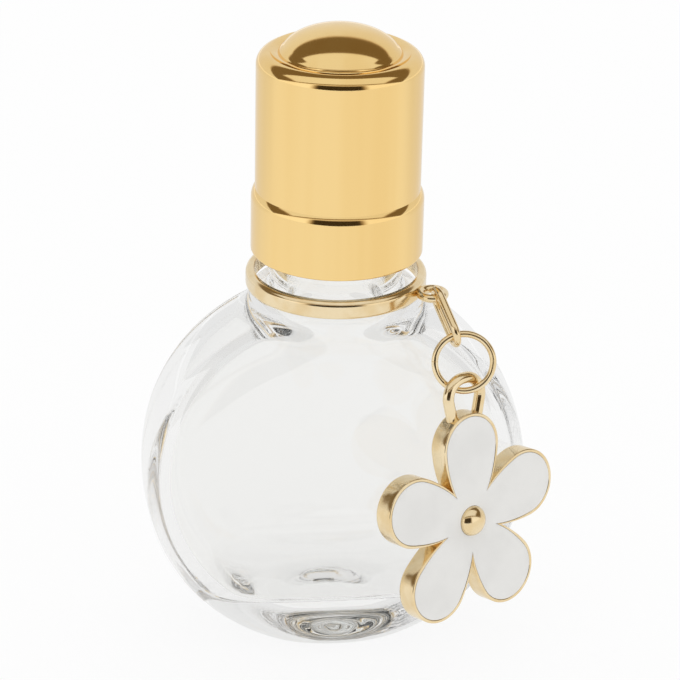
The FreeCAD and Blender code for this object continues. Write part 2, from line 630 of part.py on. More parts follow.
# Neck ring with its cast eyelet
ring = new_body("neck_ring")
revolve(ring, "band", "XZ_Plane", [
    ("ring_bore", "ring_bottom"),
    ("ring_edge_radius", "ring_bottom"),
    ("ring_edge_radius", "ring_top"),
    ("ring_bore", "ring_top"),
], {1: ("bulge_radius", 1)})
primitive(ring, "PartDesign::AdditiveTorus", "eyelet", "XY_Plane", ("eyelet_x", "eyelet_y", "ring_middle"),
          Radius1="eyelet_radius", Radius2="eyelet_wire")

# Oval link: a wire swept along a slot-shaped path, upright along Y
link = new_body("oval_link")
path = draw(on_plane(link, "Sketcher::SketchObject", "link_path", "XY_Plane"), [
    ("link_half_width", ZERO),
    ("link_half_width", "link_straight"),
    (ZERO, "link_end"),
    ("link_far_side", "link_straight"),
    ("link_far_side", "link_straight_low"),
    (ZERO, "link_end_low"),
    ("link_half_width", "link_straight_low"),
], {side: ("link_half_width", 1) for side in (1, 2, 4, 5)})
sweep_wire(link, "link_loop", path, "XZ_Plane", "link_half_width", ZERO, "link_wire")

# Jump ring: a torus that stops short of a full turn at its seam
jump = doc.addObject("Part::Torus", "jump_ring")
jump.Label = "jump_ring"
jump.setExpression("Radius1", cell("jump_radius"))
jump.setExpression("Radius2", cell("jump_wire"))
jump.setExpression("Angle3", "360 - " + cell("jump_seam"))


def petal_sketch(body, kind, radius, level):
    """One petal's outline, from the middle of the flower, at a named height."""
    sketch = on_plane(body, "Sketcher::SketchObject", kind + "_petal_outline", "XY_Plane")
    if level is not ZERO:
        sketch.setExpression("AttachmentOffset.Base.z", cell(level))
    return draw(sketch, [
        (ZERO, ZERO),
        (kind + "_notch_x", kind + "_notch_y"),
        (kind + "_side_x", kind + "_side_y"),
        (ZERO, kind + "_end_y"),
        (kind + "_side_far", kind + "_side_y"),
        (kind + "_notch_far", kind + "_notch_y"),
    ], {2: (radius, 1), 3: (radius, 1)})


def round_flower(body, name, feature):
    """Repeat a petal's feature round the middle of the flower."""
    doc.recompute()
    pattern = body.newObject("PartDesign::PolarPattern", name)
    pattern.Originals = [feature]
    pattern.Axis = (feature.Profile[0], ["N_Axis"])
    pattern.Angle = FULL_TURN
    pattern.setExpression("Occurrences", cell("petals"))
    body.Tip = pattern
    return pattern


# Flower: five petals with a bail, a recess for the enamel and a bead, face up along Z
charm = new_body("flower_charm")
metal_petal = pad(charm, "petal", petal_sketch(charm, "metal", "petal_radius", ZERO), "charm_thickness")
round_flower(charm, "petals", metal_petal)
bail_path = on_plane(charm, "Sketcher::SketchObject", "bail_path", "XY_Plane")
bail_path.setExpression("AttachmentOffset.Base.z", cell("bail_level"))
draw(bail_path, [
    (ZERO, "bail_bar"),
    ("bail_corner_x", "bail_bar"),
    ("bail_side_x", "bail_side_y"),
    ("bail_foot_x", "bail_foot"),
], {1: ("bail_corner", -1)}, closed=False)
half_bail = sweep_wire(charm, "half_bail", bail_path, "YZ_Plane", "bail_bar", "bail_level", "bail_wire")
doc.recompute()
bail = charm.newObject("PartDesign::Mirrored", "bail")
bail.Originals = [half_bail]
bail.MirrorPlane = (bail_path, ["V_Axis"])
charm.Tip = bail
recess_outline = petal_sketch(charm, "recess", "recess_petal", "charm_thickness")
recess = pad(charm, "recess", recess_outline, "enamel_depth", "PartDesign::Pocket")
round_flower(charm, "recesses", recess)
revolve(charm, "bead", "XZ_Plane", [
    (ZERO, "bail_level"),
    ("bead_radius", "bail_level"),
    ("bead_radius", "charm_thickness"),
    (ZERO, "bead_top"),
], {2: ("bead_curve", 1)})

enamel = new_body("flower_enamel")
enamel_petal = pad(enamel, "enamel", petal_sketch(enamel, "enamel", "enamel_petal", "enamel_floor"),
                   "enamel_thickness")
round_flower(enamel, "enamels", enamel_petal)
primitive(enamel, "PartDesign::SubtractiveCylinder", "bead_hole", "XY_Plane", (ZERO, ZERO, "hole_foot"),
          Radius="bead_hole", Height="hole_height")
doc.recompute()


def facing(turn, lean):
    """Right, up and outward directions of something that faces a way and leans back, in degrees."""
    turn, lean = math.radians(turn), math.radians(lean)
    outward = Vector(math.cos(turn) * math.cos(lean), math.sin(turn) * math.cos(lean), math.sin(lean))
    right = Vector(-math.sin(turn), math.cos(turn), 0)
    return right, outward.cross(right), outward


def frame(spot, right, up):
    """A placement whose X and Y axes point right and up."""
    out = right.cross(up)
    return Placement(Matrix(right.x, up.x, out.x, spot.x,
                            right.y, up.y, out.y, spot.y,
                            right.z, up.z, out.z, spot.z,
                            0, 0, 0, 1))


# Where everything hangs: pieces on the neck are lifted by the middle of the round, the chain follows
lift = Vector(0, 0, size("body_centre"))
turn = math.radians(size("link_turn"))
dip = math.radians(size("link_dip"))
down_link = Vector(math.cos(turn) * math.cos(dip), math.sin(turn) * math.cos(dip), -math.sin(dip))
link_normal = Vector(-math.sin(turn), math.cos(turn), 0)
eyelet_out = Vector(math.cos(turn), math.sin(turn), 0)
eyelet_spot = Vector(size("eyelet_x"), size("eyelet_y"), size("ring_middle")) + lift
link_pivot = eyelet_spot + eyelet_out * size("eyelet_radius")
jump_pivot = link_pivot + down_link * size("link_span")
link_spot = link_pivot + down_link * (size("link_length") / 2 - size("link_upper_hold"))

jump_right, jump_up, jump_out = facing(size("jump_turn"), size("jump_lean"))
hold = math.radians(size("jump_hold"))
to_hold = jump_up * math.cos(hold) - jump_right * math.sin(hold)
jump_axis = jump_right * math.cos(hold) + jump_up * math.sin(hold)
jump_spot = jump_pivot - to_hold * size("jump_radius")
slide = math.radians(size("charm_slide"))
charm_axis = jump_right * math.cos(slide) + jump_up * math.sin(slide)
charm_pivot = jump_spot + (jump_right * math.sin(slide) - jump_up * math.cos(slide)) * size("jump_radius")

charm_right, charm_up, charm_out = facing(size("charm_turn"), size("charm_lean"))
roll = math.radians(size("charm_roll"))
charm_x = charm_right * math.cos(roll) + charm_up * math.sin(roll)
charm_y = charm_up * math.cos(roll) - charm_right * math.sin(roll)
charm_drop = size("bail_bar") - size("charm_hold")
charm_spot = charm_pivot - charm_y * charm_drop - charm_out * size("bail_level")

nodes = [
    (glass, Placement(lift, Rotation())),
    (housing, Placement(lift, Rotation())),
    (ball, Placement(lift + Vector(0, 0, size("ball_centre")), Rotation())),
    (shell, Placement(lift, Rotation())),
    (liner, Placement(lift, Rotation())),
    (ring, Placement(lift, Rotation())),
    (link, frame(link_spot, link_normal.cross(down_link), -down_link)),
    (jump, frame(jump_spot, -jump_right, -jump_up)),
    (charm, frame(charm_spot, charm_x, charm_y)),
    (enamel, frame(charm_spot, charm_x, charm_y)),
]
for node, placement in nodes:
    node.Placement = placement
doc.recompute()

for item in doc.Objects:
    if "Invalid" in item.State or "Error" in item.State:
        raise RuntimeError("%s did not build: %s" % (item.Name, item.State))
os.makedirs("parts", exist_ok=True)
for node, placement in nodes:
    shape = node.Shape
    if shape.isNull() or not shape.isValid() or len(shape.Solids) != 1:
        raise RuntimeError("%s isn't one valid solid" % node.Label)
    shape.exportStep("parts/%s.step" % node.Label)
    print("%-16s %10.3f mm3" % (node.Label, shape.Volume))

for words, spot, axis in (
    ("ball", lift + Vector(0, 0, size("ball_centre")), Vector(1, 0, 0)),
    ("link", link_pivot, -link_normal),
    ("jump ring", jump_pivot, -jump_axis),
    ("charm", charm_pivot, -charm_axis),
):
    print("%s turns at (%.4f, %.4f, %.4f) about (%.5f, %.5f, %.5f)" % ((words,) + tuple(spot) + tuple(axis)))
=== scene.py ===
"""Looks of a flat round glass roll-on bottle: two-step gold cap, loose neck ring, short chain and flower
charm."""

import json
import math

import bpy
import numpy as np
from bpy.props import FloatProperty, FloatVectorProperty, IntProperty, PointerProperty
from bpy.types import Operator, Panel, PropertyGroup
from mathutils import Matrix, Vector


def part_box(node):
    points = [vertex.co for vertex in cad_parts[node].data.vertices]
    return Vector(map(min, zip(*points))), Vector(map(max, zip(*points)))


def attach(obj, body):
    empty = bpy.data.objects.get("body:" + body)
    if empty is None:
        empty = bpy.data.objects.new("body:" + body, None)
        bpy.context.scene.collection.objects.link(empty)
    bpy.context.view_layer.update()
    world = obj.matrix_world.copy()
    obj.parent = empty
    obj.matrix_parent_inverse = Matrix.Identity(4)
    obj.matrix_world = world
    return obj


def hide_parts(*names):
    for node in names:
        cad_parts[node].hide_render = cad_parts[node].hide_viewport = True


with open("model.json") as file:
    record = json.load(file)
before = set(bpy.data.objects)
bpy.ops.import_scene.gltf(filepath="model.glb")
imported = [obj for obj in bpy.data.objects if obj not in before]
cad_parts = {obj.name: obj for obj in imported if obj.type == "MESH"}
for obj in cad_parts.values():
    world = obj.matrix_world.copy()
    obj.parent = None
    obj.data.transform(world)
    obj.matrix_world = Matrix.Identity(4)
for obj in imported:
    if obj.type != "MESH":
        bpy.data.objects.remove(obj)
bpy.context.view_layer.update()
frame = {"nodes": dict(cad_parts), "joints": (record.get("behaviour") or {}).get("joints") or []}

bl_info = {
    "name": "Roll-on bottle",
    "version": (1, 0, 0),
    "blender": (4, 5, 0),
    "location": "View3D > Sidebar > Bottle",
    "description": "Builds a round glass roll-on bottle with a gold cap and a flower charm on its CAD frame",
    "category": "Add Mesh",
}

MM = 0.001
WELD = 1e-9
THREAD_FADE = 0.15
# strength of the painted glow on the roller housing's plug inside the glass
PAINTED_GLOW_STRENGTH = 0.33
BLACK = (0.0, 0.0, 0.0)
WHITE = (1.0, 1.0, 1.0)
BOUNCES = 32
BOXES = {node: [np.array(corner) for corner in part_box(node)] for node in frame["nodes"]}
JOINTS = {joint["name"]: joint for joint in frame["joints"]}


def low(node, axis):
    """A CAD node's lowest reach along X, Y or Z."""
    return float(BOXES[node][0]["xyz".index(axis)])


def high(node, axis):
    """A CAD node's highest reach along X, Y or Z."""
    return float(BOXES[node][1]["xyz".index(axis)])


def pivot(joint):
    """The point that a joint turns about."""
    return np.array(JOINTS[joint]["pos_m"])


def axis_of(joint):
    """The way that a joint's axis points."""
    return np.array(JOINTS[joint]["axis"])


# Settings that a user would change


def length(name, words, default):
    """A length setting, in metres."""
    return FloatProperty(name=name, description=words, default=default, unit="LENGTH", subtype="DISTANCE",
                         precision=5)


def angle(name, words, degrees):
    """An angle setting, given in degrees and held in radians."""
    return FloatProperty(name=name, description=words, default=math.radians(degrees), unit="ROTATION",
                         subtype="ANGLE")


def share(name, words, default):
    """A setting from 0 to 1."""
    return FloatProperty(name=name, description=words, default=default, subtype="FACTOR", min=0.0,
                         soft_max=1.0)


def lamp(name, words, default):
    """A strength of light, where 1 is white."""
    return FloatProperty(name=name, description=words, default=default, min=0.0)


def colour(name, words, red, green, blue):
    """A colour setting, given as it shows on a screen from 0 to 255 and held as light."""
    screen = np.array([red, green, blue]) / 255
    light = np.where(screen <= 0.04045, screen / 12.92, ((screen + 0.055) / 1.055) ** 2.4)
    return FloatVectorProperty(name=name, description=words, default=light.tolist(), size=3, subtype="COLOR",
                               min=0.0, max=1.0)


class GlassSizes(PropertyGroup):
    """The glass body and its neck."""
    body_radius: length("Body radius", "Radius of the round seen from the front", high("glass_bottle", "x"))
    body_depth: length("Body depth", "Front to back", high("glass_bottle", "y") - low("glass_bottle", "y"))
    height: length("Height", "Table to mouth", high("glass_bottle", "z"))
    base_cut: length("Base cut", "How far the round is cut flat to stand", 1.2 * MM)
    edge_radius: length("Edge radius", "Rounding between face and side", 5.6 * MM)
    side_crown: length("Side crown", "Radius of the side's slow curve", 30 * MM)
    face_crown: length("Face crown", "Radius of the face's slow curve", 180 * MM)
    wall_side: length("Side wall", "Glass at the sides", 2.4 * MM)
    wall_face: length("Face wall", "Glass at the faces", 2.2 * MM)
    floor: length("Floor", "Glass under the hollow", 6 * MM)
    floor_blend: length("Floor blend", "Softness of the hollow's lower edge", 1.3 * MM)
    push_up_radius: length("Push-up radius", "Dimple under the base", 4.4 * MM)
    push_up_depth: length("Push-up depth", "Depth of the dimple", 0.7 * MM)
    base_blend: length("Base blend", "Softness of the standing edge", 0.8 * MM)
    seat_radius: length("Seat radius", "Collar that the neck ring rests on", high("cap_shell", "x"))
    seat_top: length("Seat top", "Height of the collar", low("neck_ring", "z") - 0.3 * MM)
    seat_edge: length("Seat edge", "Rounding of the collar", 0.5 * MM)
    seat_blend: length("Seat blend", "Flow of the collar into the body", 1.9 * MM)
    neck_radius: length("Neck radius", "Outside of the neck", 7 * MM)
    neck_wall: length("Neck wall", "Glass of the neck", 1.8 * MM)
    neck_lip: length("Neck lip", "Rounding of the mouth", 0.6 * MM)
    neck_blend: length("Neck blend", "Flow of the neck into the collar", 0.9 * MM)
    bore_blend: length("Bore blend", "Flow of the bore into the hollow", 1.8 * MM)
    thread_pitch: length("Thread pitch", "Rise of the thread in a turn", 3 * MM)
    thread_height: length("Thread height", "How far the thread stands out", 0.45 * MM)
    thread_width: length("Thread width", "Half of the thread's foot", 0.75 * MM)
    thread_start: length("Thread start", "Height where the thread begins", 46.6 * MM)
    thread_turns: FloatProperty(name="Thread turns", description="Turns of the thread", default=1.6)


class CapSizes(PropertyGroup):
    """The drawn cap and the liner inside it."""
    radius: length("Band radius", "Outside of the lower band", high("cap_shell", "x"))
    foot: length("Foot", "Height of the open edge", low("cap_shell", "z"))
    top: length("Top", "Height of the dome's middle", high("cap_shell", "z"))
    wall: length("Wall", "Sheet of the cap", 0.45 * MM)
    band_height: length("Band height", "Height of the lower band", 5.8 * MM)
    shoulder: length("Shoulder", "Height of the step's rounding", 1.1 * MM)
    step: length("Step", "How far the upper part stands back", 0.4 * MM)
    rim_radius: length("Rim radius", "Rounding of the top edge", 1.42 * MM)
    rim_wrap: angle("Rim wrap", "How far the top edge turns in past its crest", 25)
    rim_width: length("Rim width", "Width of the rim round the dome", 2.3 * MM)
    dome_rise: length("Dome rise", "Height of the dome over the rim", 2.6 * MM)
    dome_sink: length("Dome sink", "How far the dome's widest place lies under the rim", 0.7 * MM)
    valley: length("Valley", "Softness of the valley round the dome", 1.7 * MM)
    lip: length("Lip", "Rounding of the open edge", 0.2 * MM)
    liner_gap: length("Liner gap", "Air between the cap and its liner", 0.02 * MM)
    liner_wall: length("Liner wall", "Wall of the liner", 0.78 * MM)
    liner_foot: length("Liner foot", "Height of the liner's edge", low("cap_liner", "z"))
    liner_top: length("Liner top", "Height of the liner's closed end", high("cap_liner", "z"))
    liner_room: length("Liner room", "Radius of the room over the ball", 5.95 * MM)
    liner_roof: length("Liner roof", "Thickness of the closed end", 1.2 * MM)
    seal: length("Seal", "Height of the ledge that meets the roller housing", 55.3 * MM)
    thread_height: length("Thread height", "How far the inner thread stands in", 0.2 * MM)


class RollerSizes(PropertyGroup):
    """The ball and the housing that holds it."""
    ball_radius: length("Ball radius", "Half across the ball",
                        (high("roller_ball", "x") - low("roller_ball", "x")) / 2)
    ball_centre: length("Ball centre", "Height of the ball's middle", float(pivot("ball_roll")[2]))
    ball_gap: length("Ball gap", "Air between ball and socket", 0.05 * MM)
    plug_foot: length("Plug foot", "Height of the plug's lower end", low("roller_housing", "z"))
    plug_radius: length("Plug radius", "Outside of the plug", 5.18 * MM)
    plug_lead: length("Plug lead", "Height of the plug's tapered end", 0.8 * MM)
    plug_taper: length("Plug taper", "How far the end tapers", 0.4 * MM)
    rib_depth: length("Rib depth", "Depth of the grooves between the sealing ribs", 0.22 * MM)
    flange_radius: length("Flange radius", "Outside of the flange", high("roller_housing", "x"))
    flange_foot: length("Flange foot", "Height of the flange's underside", high("glass_bottle", "z"))
    flange_height: length("Flange height", "Thickness of the flange", 1.2 * MM)
    head_radius: length("Head radius", "Outside of the head", 5.7 * MM)
    lip_radius: length("Lip radius", "Outside of the lip", 5 * MM)
    lip_level: length("Lip level", "Height of the lip", high("roller_housing", "z"))
    feed_radius: length("Feed radius", "Hole under the ball", 2.4 * MM)


class RingSizes(PropertyGroup):
    """The loose neck ring and its eyelet."""
    bore: length("Bore", "Inside of the band", 8.6 * MM)
    thickness: length("Thickness", "Inside to outside of the band", 0.9 * MM)
    upper_edge: length("Upper edge", "Rounding of the band's upper edge", 0.62 * MM)
    lower_edge: length("Lower edge", "Rounding of the band's lower edge", 0.4 * MM)
    inner_edge: length("Inner edge", "Rounding of the band's inner edges", 0.14 * MM)
    bottom: length("Bottom", "Height of the lower edge", low("neck_ring", "z"))
    top: length("Top", "Height of the upper edge", high("neck_ring", "z"))
    eyelet_radius: length("Eyelet radius", "Middle line of the eyelet", 1.25 * MM)
    eyelet_wire: length("Eyelet wire", "Half the eyelet's thickness", 0.45 * MM)
    eyelet_turn: angle("Eyelet turn", "Where the eyelet stands, from +X", -31)
    eyelet_root: length("Eyelet root", "How deep the eyelet grows into the band", 0.25 * MM)


class ChainSizes(PropertyGroup):
    """The oval link and the jump ring."""
    link_wire: length("Link wire", "Half the link's thickness", 0.4 * MM)
    link_half_width: length("Link half width", "Middle line of the link, half across", 1.3 * MM)
    link_twist: angle("Link twist", "How far the link hangs turned about its length", 14)
    link_upper_hold: length("Upper hold", "From the eyelet's wire to the link's upper end", 0.91 * MM)
    link_lower_hold: length("Lower hold", "From the jump ring's wire to the link's lower end", 0.81 * MM)
    jump_radius: length("Jump ring radius", "Middle line of the jump ring", 3 * MM)
    jump_wire: length("Jump ring wire", "Half the ring's thickness", 0.35 * MM)
    jump_seam: angle("Seam", "Gap between the ring's cut ends", 2)
    charm_slide: angle("Slide", "From the jump ring's foot to the bail", 2)
    jump_spring: length("Spring", "How far the cut ends stand past each other", 0.05 * MM)


class CharmSizes(PropertyGroup):
    """The flower casting and its enamel."""
    turn: angle("Turn", "Way that the flower faces, from +X", -57.5)
    lean: angle("Lean", "How far the flower leans back", 9.4)
    roll: angle("Roll", "How far the flower hangs askew", -4.5)
    hold: length("Hold", "From the jump ring's wire to the bail's bar", 1.37 * MM)
    petals: IntProperty(name="Petals", description="Petals of the flower", default=5, min=3)
    petal_centre: length("Petal centre", "From the flower's middle to a petal's round end", 7.9 * MM)
    petal_radius: length("Petal radius", "Round end of a petal", 3.7 * MM)
    petal_side: length("Petal side", "Radius of a petal's bowed sides", 14 * MM)
    notch_radius: length("Notch radius", "Where two petals meet, from the middle", 4.3 * MM)
    rim_line: length("Rim line", "Width of the rim round a petal", 0.35 * MM)
    rim_notch: length("Rim at a notch", "Width of the rim where petals meet", 0.8 * MM)
    thickness: length("Thickness", "Back to rim", 2.2 * MM)
    back_edge: length("Back edge", "Rounding of the back", 0.3 * MM)
    rim_edge: length("Rim edge", "Rounding of the rim", 0.1 * MM)
    enamel_depth: length("Enamel depth", "Depth of the recess", 0.7 * MM)
    enamel_dip: length("Enamel dip", "How far the enamel lies under the rim", 0.08 * MM)
    enamel_climb: length("Enamel climb", "How far the enamel climbs at its edges", 0.06 * MM)
    fit: length("Fit", "Air round the enamel", 0.02 * MM)
    bead_radius: length("Bead radius", "Half across the bead", 1.6 * MM)
    bead_rise: length("Bead rise", "Height of the bead over the rim", 1 * MM)
    bail_level: length("Bail level", "Height of the bail's middle over the back", 1.1 * MM)
    bail_rise: length("Bail rise", "Bail's bar past the petal", 3.6 * MM)
    bail_half_width: length("Bail half width", "Middle line of the bail, half across", 2.2 * MM)
    bail_corner: length("Bail corner", "Rounding of the bail", 1.95 * MM)
    bail_taper: length("Bail taper", "How far each leg draws in", 0.75 * MM)
    bail_root: length("Bail root", "How deep the legs go into the petal", 1.6 * MM)
    bail_wire: length("Bail wire", "Half the bail's thickness", 0.6 * MM)


class Finishes(PropertyGroup):
    """Colours of the finishes."""
    cap_gold: colour("Cap gold", "Bright gold of the cap", 247, 214, 148)
    cap_gold_deep: colour("Cap gold, deep", "Faint deeper bands in the cap's gold", 243, 207, 138)
    pale_gold: colour("Pale gold", "Champagne gold of the ring, chain and charm", 240, 221, 183)
    pale_gold_deep: colour("Pale gold, deep", "Deeper tone in the pale gold", 232, 206, 158)
    enamel: colour("Enamel", "White of the flower", 226, 225, 222)
    enamel_deep: colour("Enamel, deep", "Faint clouds in the white", 221, 220, 217)
    glass: colour("Glass", "Tint of the clear glass", 253, 253, 252)
    # this colour is also the housing plug's painted glow below the flange
    housing: colour("Housing", "Milky plastic of the roller housing", 238, 240, 240)
    housing_deep: colour("Housing, deep", "Flow marks in the milky plastic", 228, 231, 232)
    liner: colour("Liner", "White plastic of the cap's liner", 246, 246, 244)
    liner_deep: colour("Liner, deep", "Faint marks in the white plastic", 238, 238, 235)
    steel: colour("Steel", "Polished steel of the ball", 216, 218, 220)
    steel_deep: colour("Steel, deep", "Faint darker tone of the steel", 204, 206, 208)


class StageSettings(PropertyGroup):
    """Camera, floor and light."""
    camera_turn: angle("Camera turn", "How far the camera stands to the left of the front", 7.282)
    camera_distance: length("Camera distance", "Level distance to the bottle's middle", 264.39 * MM)
    camera_height: length("Camera height", "Height of the camera", 155.85 * MM)
    camera_pitch: angle("Camera pitch", "How far the camera looks down", 24.826)
    camera_yaw: angle("Camera yaw", "Small turn to the right of the middle", 0.125)
    camera_roll: angle("Camera roll", "Small tilt of the picture", 1.26)
    lens: FloatProperty(name="Lens", description="Focal length on a 36 mm wide picture", default=145.2,
                        unit="CAMERA")
    floor_size: length("Floor size", "Half across the floor", 0.9)
    floor_drop: length("Floor drop", "Air under the bottle's foot", 0.05 * MM)
    floor_glow: share("Floor glow", "How much of the floor's white is its own for the camera", 0.9)
    floor_mirrored: share("Floor in mirrors", "The same share where the floor is mirrored", 0.75)
    floor_in_glass: share("Floor in glass", "The same share where the floor is seen through glass", 0.86)
    floor_dimmed: share("Floor white in glass", "How bright the floor's own white is through glass", 0.9)
    floor_behind: share("Floor behind", "How bright the floor behind the object is in mirrors", 0.84)
    floor_paint: share("Floor paint", "How pale the floor's paint is", 0.82)
    plain_light: lamp("Plain light", "Strength of the soft light", 1.1)
    room_light: lamp("Room", "Strength of the white room in mirrors", 1.1)
    box_light: lamp("Softbox", "Strength of the softbox overhead", 0.89)
    back_light: lamp("Backdrop", "Strength of the wall behind", 0.85)
    ceiling_light: lamp("Ceiling", "Strength of the dim ceiling", 0.2)
    cloth_light: lamp("Dark cloth", "Strength of the cloth at the camera", 0.045)
    shade: colour("Shade", "Warm colour of the ceiling and the cloth", 255, 219, 160)
    glass_low: lamp("Dimmest in glass", "Least light seen through glass", 0.72)
    glass_high: lamp("Brightest in glass", "Most light seen through glass", 0.79)


# Surfaces


def unit(vector):
    """A vector divided by its length."""
    return vector / np.linalg.norm(vector)


def smooth_step(value, first, last):
    """0 before first, 1 after last and an S-shaped climb between."""
    climb = np.clip((value - first) / (last - first), 0, 1)
    return climb * climb * (3 - 2 * climb)


def smooth_min(one, other, width):
    """The smaller of two distances, with the crease between them rounded over a width."""
    near = np.maximum(width - np.abs(one - other), 0) / width
    return np.minimum(one, other) - near ** 2 * width / 4


def smooth_max(one, other, width):
    """The larger of two distances, with the edge between them rounded over a width."""
    return -smooth_min(-one, -other, width)


def arc(across, along, radius_across, radius_along, first, last, steps):
    """Points on an ellipse from one angle in degrees to another."""
    turn = np.radians(np.linspace(first, last, steps + 1))
    return np.stack([across + radius_across * np.cos(turn), along + radius_along * np.sin(turn)], -1)


def rounded(corners, closed=False, steps=8):
    """A line through corners (across, along, radius): an arc tangent to its two runs stands for each
    corner."""
    spots = np.array([corner[:2] for corner in corners])
    parts = []
    for number, corner in enumerate(corners):
        spot, radius = spots[number], corner[2]
        is_end = not closed and number in (0, len(corners) - 1)
        if radius == 0 or is_end:
            parts.append(spot[None])
            continue
        back = unit(spots[number - 1] - spot)
        ahead = unit(spots[(number + 1) % len(corners)] - spot)
        half = math.acos(np.clip(back @ ahead, -1, 1)) / 2
        centre = spot + unit(back + ahead) * radius / math.sin(half)
        first = spot + back * radius / math.tan(half) - centre
        last = spot + ahead * radius / math.tan(half) - centre
        start = math.atan2(first[1], first[0])
        sweep = (math.atan2(last[1], last[0]) - start + math.pi) % (2 * math.pi) - math.pi
        turn = start + sweep * np.linspace(0, 1, steps + 1)
        parts.append(centre + radius * np.stack([np.cos(turn), np.sin(turn)], -1))
    return np.concatenate(parts)


def refined(line, longest, support=0.05 * MM):
    """The same line with its long runs divided, and once close to each end of a run so that shading stays
    flat."""
    steps = np.linalg.norm(np.diff(line, axis=0), axis=1)
    line = line[np.concatenate([[True], steps > WELD])]
    steps = steps[steps > WELD]
    along = np.concatenate([[0], np.cumsum(steps)])
    wide = steps > 4 * support
    places = [along, along[:-1][wide] + support, along[1:][wide] - support]
    places += [np.linspace(start, end, int((end - start) / longest) + 2)
               for start, end in zip(along[:-1][wide], along[1:][wide])]
    places = np.unique(np.concatenate(places))
    return np.stack([np.interp(places, along, line[:, 0]), np.interp(places, along, line[:, 1])], -1)


def turned(profile, columns, swell=None):
    """A profile of radius and height carried round the Z axis; swell adds to the radius at each angle and
    height."""
    turn = np.linspace(0, 2 * math.pi, columns, endpoint=False)[None, :]
    radius, height = profile[:, 0, None], profile[:, 1, None] + 0 * turn
    if swell is not None:
        radius = radius + swell(turn, height, radius)
    return np.stack([radius * np.cos(turn), radius * np.sin(turn), height], -1)


def wire(path, radius, sides, closed):
    """A round section carried square along a path that lies level or nearly so. An open wire is closed by a
    slightly rounded end."""
    if closed:
        tangent = np.roll(path, -1, axis=0) - np.roll(path, 1, axis=0)
    else:
        tangent = np.gradient(path, axis=0)
    tangent /= np.linalg.norm(tangent, axis=1, keepdims=True)
    normal = np.array([0, 0, 1])
    inward = np.cross(normal, tangent)
    turn = np.linspace(0, 2 * math.pi, sides, endpoint=False)[None, :, None]
    section = radius * (np.cos(turn) * inward[:, None] + np.sin(turn) * normal)
    rows = path[:, None] + section
    if closed:
        return rows
    shrink, push = np.array([1.0, 0.9, 0.0]), np.array([0.05, 0.12, 0.14]) * radius
    first = [path[0] - tangent[0] * step + section[0] * scale for scale, step in zip(shrink, push)]
    last = [path[-1] + tangent[-1] * step + section[-1] * scale for scale, step in zip(shrink, push)]
    return np.concatenate([first[::-1], rows, last])


def placed(points, spot, right, up):
    """Points of a flat layout put at a spot, with its X to the right, its Y up and its Z outward."""
    return spot + points @ np.stack([right, up, np.cross(right, up)])


def flat(line, level=0.0):
    """A line in the plane given a height."""
    return np.concatenate([line, np.full((len(line), 1), level)], 1)


def rays_out(distance, start, way, reach, halvings=44):
    """Where rays leave a shape: the place along each ray where the distance changes sign is found by
    halving."""
    near = np.zeros(way.shape[:2])
    far = np.full(way.shape[:2], reach)
    for _ in range(halvings):
        middle = (near + far) / 2
        inside = distance(*np.moveaxis(start + way * middle[..., None], -1, 0)) < 0
        near, far = np.where(inside, middle, near), np.where(inside, far, middle)
    return start + way * near[..., None]


def quads(rows, columns, ring):
    """Corner numbers of a grid's faces; its columns close round, and its rows too if they are a ring."""
    row, column = np.meshgrid(np.arange(rows if ring else rows - 1), np.arange(columns), indexing="ij")
    below, beside = (row + 1) % rows, (column + 1) % columns
    upper = [row * columns + column, row * columns + beside]
    lower = [below * columns + beside, below * columns + column]
    return np.stack(upper + lower, -1).reshape(-1, 4)


def volume(points, faces):
    """The volume inside closed faces, below zero when they point inwards."""
    a, b, c, d = (points[faces[:, corner]] for corner in range(4))
    return (np.cross(a, b) * c).sum() + (np.cross(a, c) * d).sum()


def welded(points, faces):
    """Points that lie together become one, so a pole's faces become triangles."""
    keys = np.round(points / WELD).astype(np.int64)
    kept, where = np.unique(keys, axis=0, return_index=True, return_inverse=True)[1:]
    faces = where.reshape(-1)[faces]
    same = faces == np.roll(faces, -1, axis=1)
    lists = faces[same.sum(1) == 0].tolist()
    for corner in range(4):
        lone = faces[(same.sum(1) == 1) & same[:, corner]]
        lists += np.delete(lone, corner, axis=1).tolist()
    return points[kept], lists


def make_piece(name, grids, body, node, finish, crease=38):
    """One mesh from closed grids of (points, rows are a ring), each turned to face outwards."""
    points, faces, count = [], [], 0
    for grid, ring in grids:
        spots = grid.reshape(-1, 3)
        corners = quads(grid.shape[0], grid.shape[1], ring)
        if volume(spots, corners) < 0:
            corners = corners[:, ::-1]
        spots, corners = welded(spots, corners)
        points.append(spots)
        faces += [[corner + count for corner in face] for face in corners]
        count += len(spots)
    mesh = bpy.data.meshes.new(name)
    mesh.from_pydata(np.concatenate(points), [], faces)
    mesh.polygons.foreach_set("use_smooth", np.ones(len(mesh.polygons), bool))
    mesh.set_sharp_from_angle(angle=math.radians(crease))
    mesh.materials.append(finish)
    if mesh.validate():
        raise RuntimeError(name + " has faults in its mesh")
    piece = bpy.data.objects.new(name, mesh)
    bpy.context.scene.collection.objects.link(piece)
    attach(piece, body)
    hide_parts(node)
    return piece


# Shader sums


def sum_of(operation, swapped=False):
    """A method that adds a Math node for a socket and another value, in this order or swapped."""
    def method(self, other):
        values = (other, self) if swapped else (self, other)
        return self.sum(operation, *values)
    return method


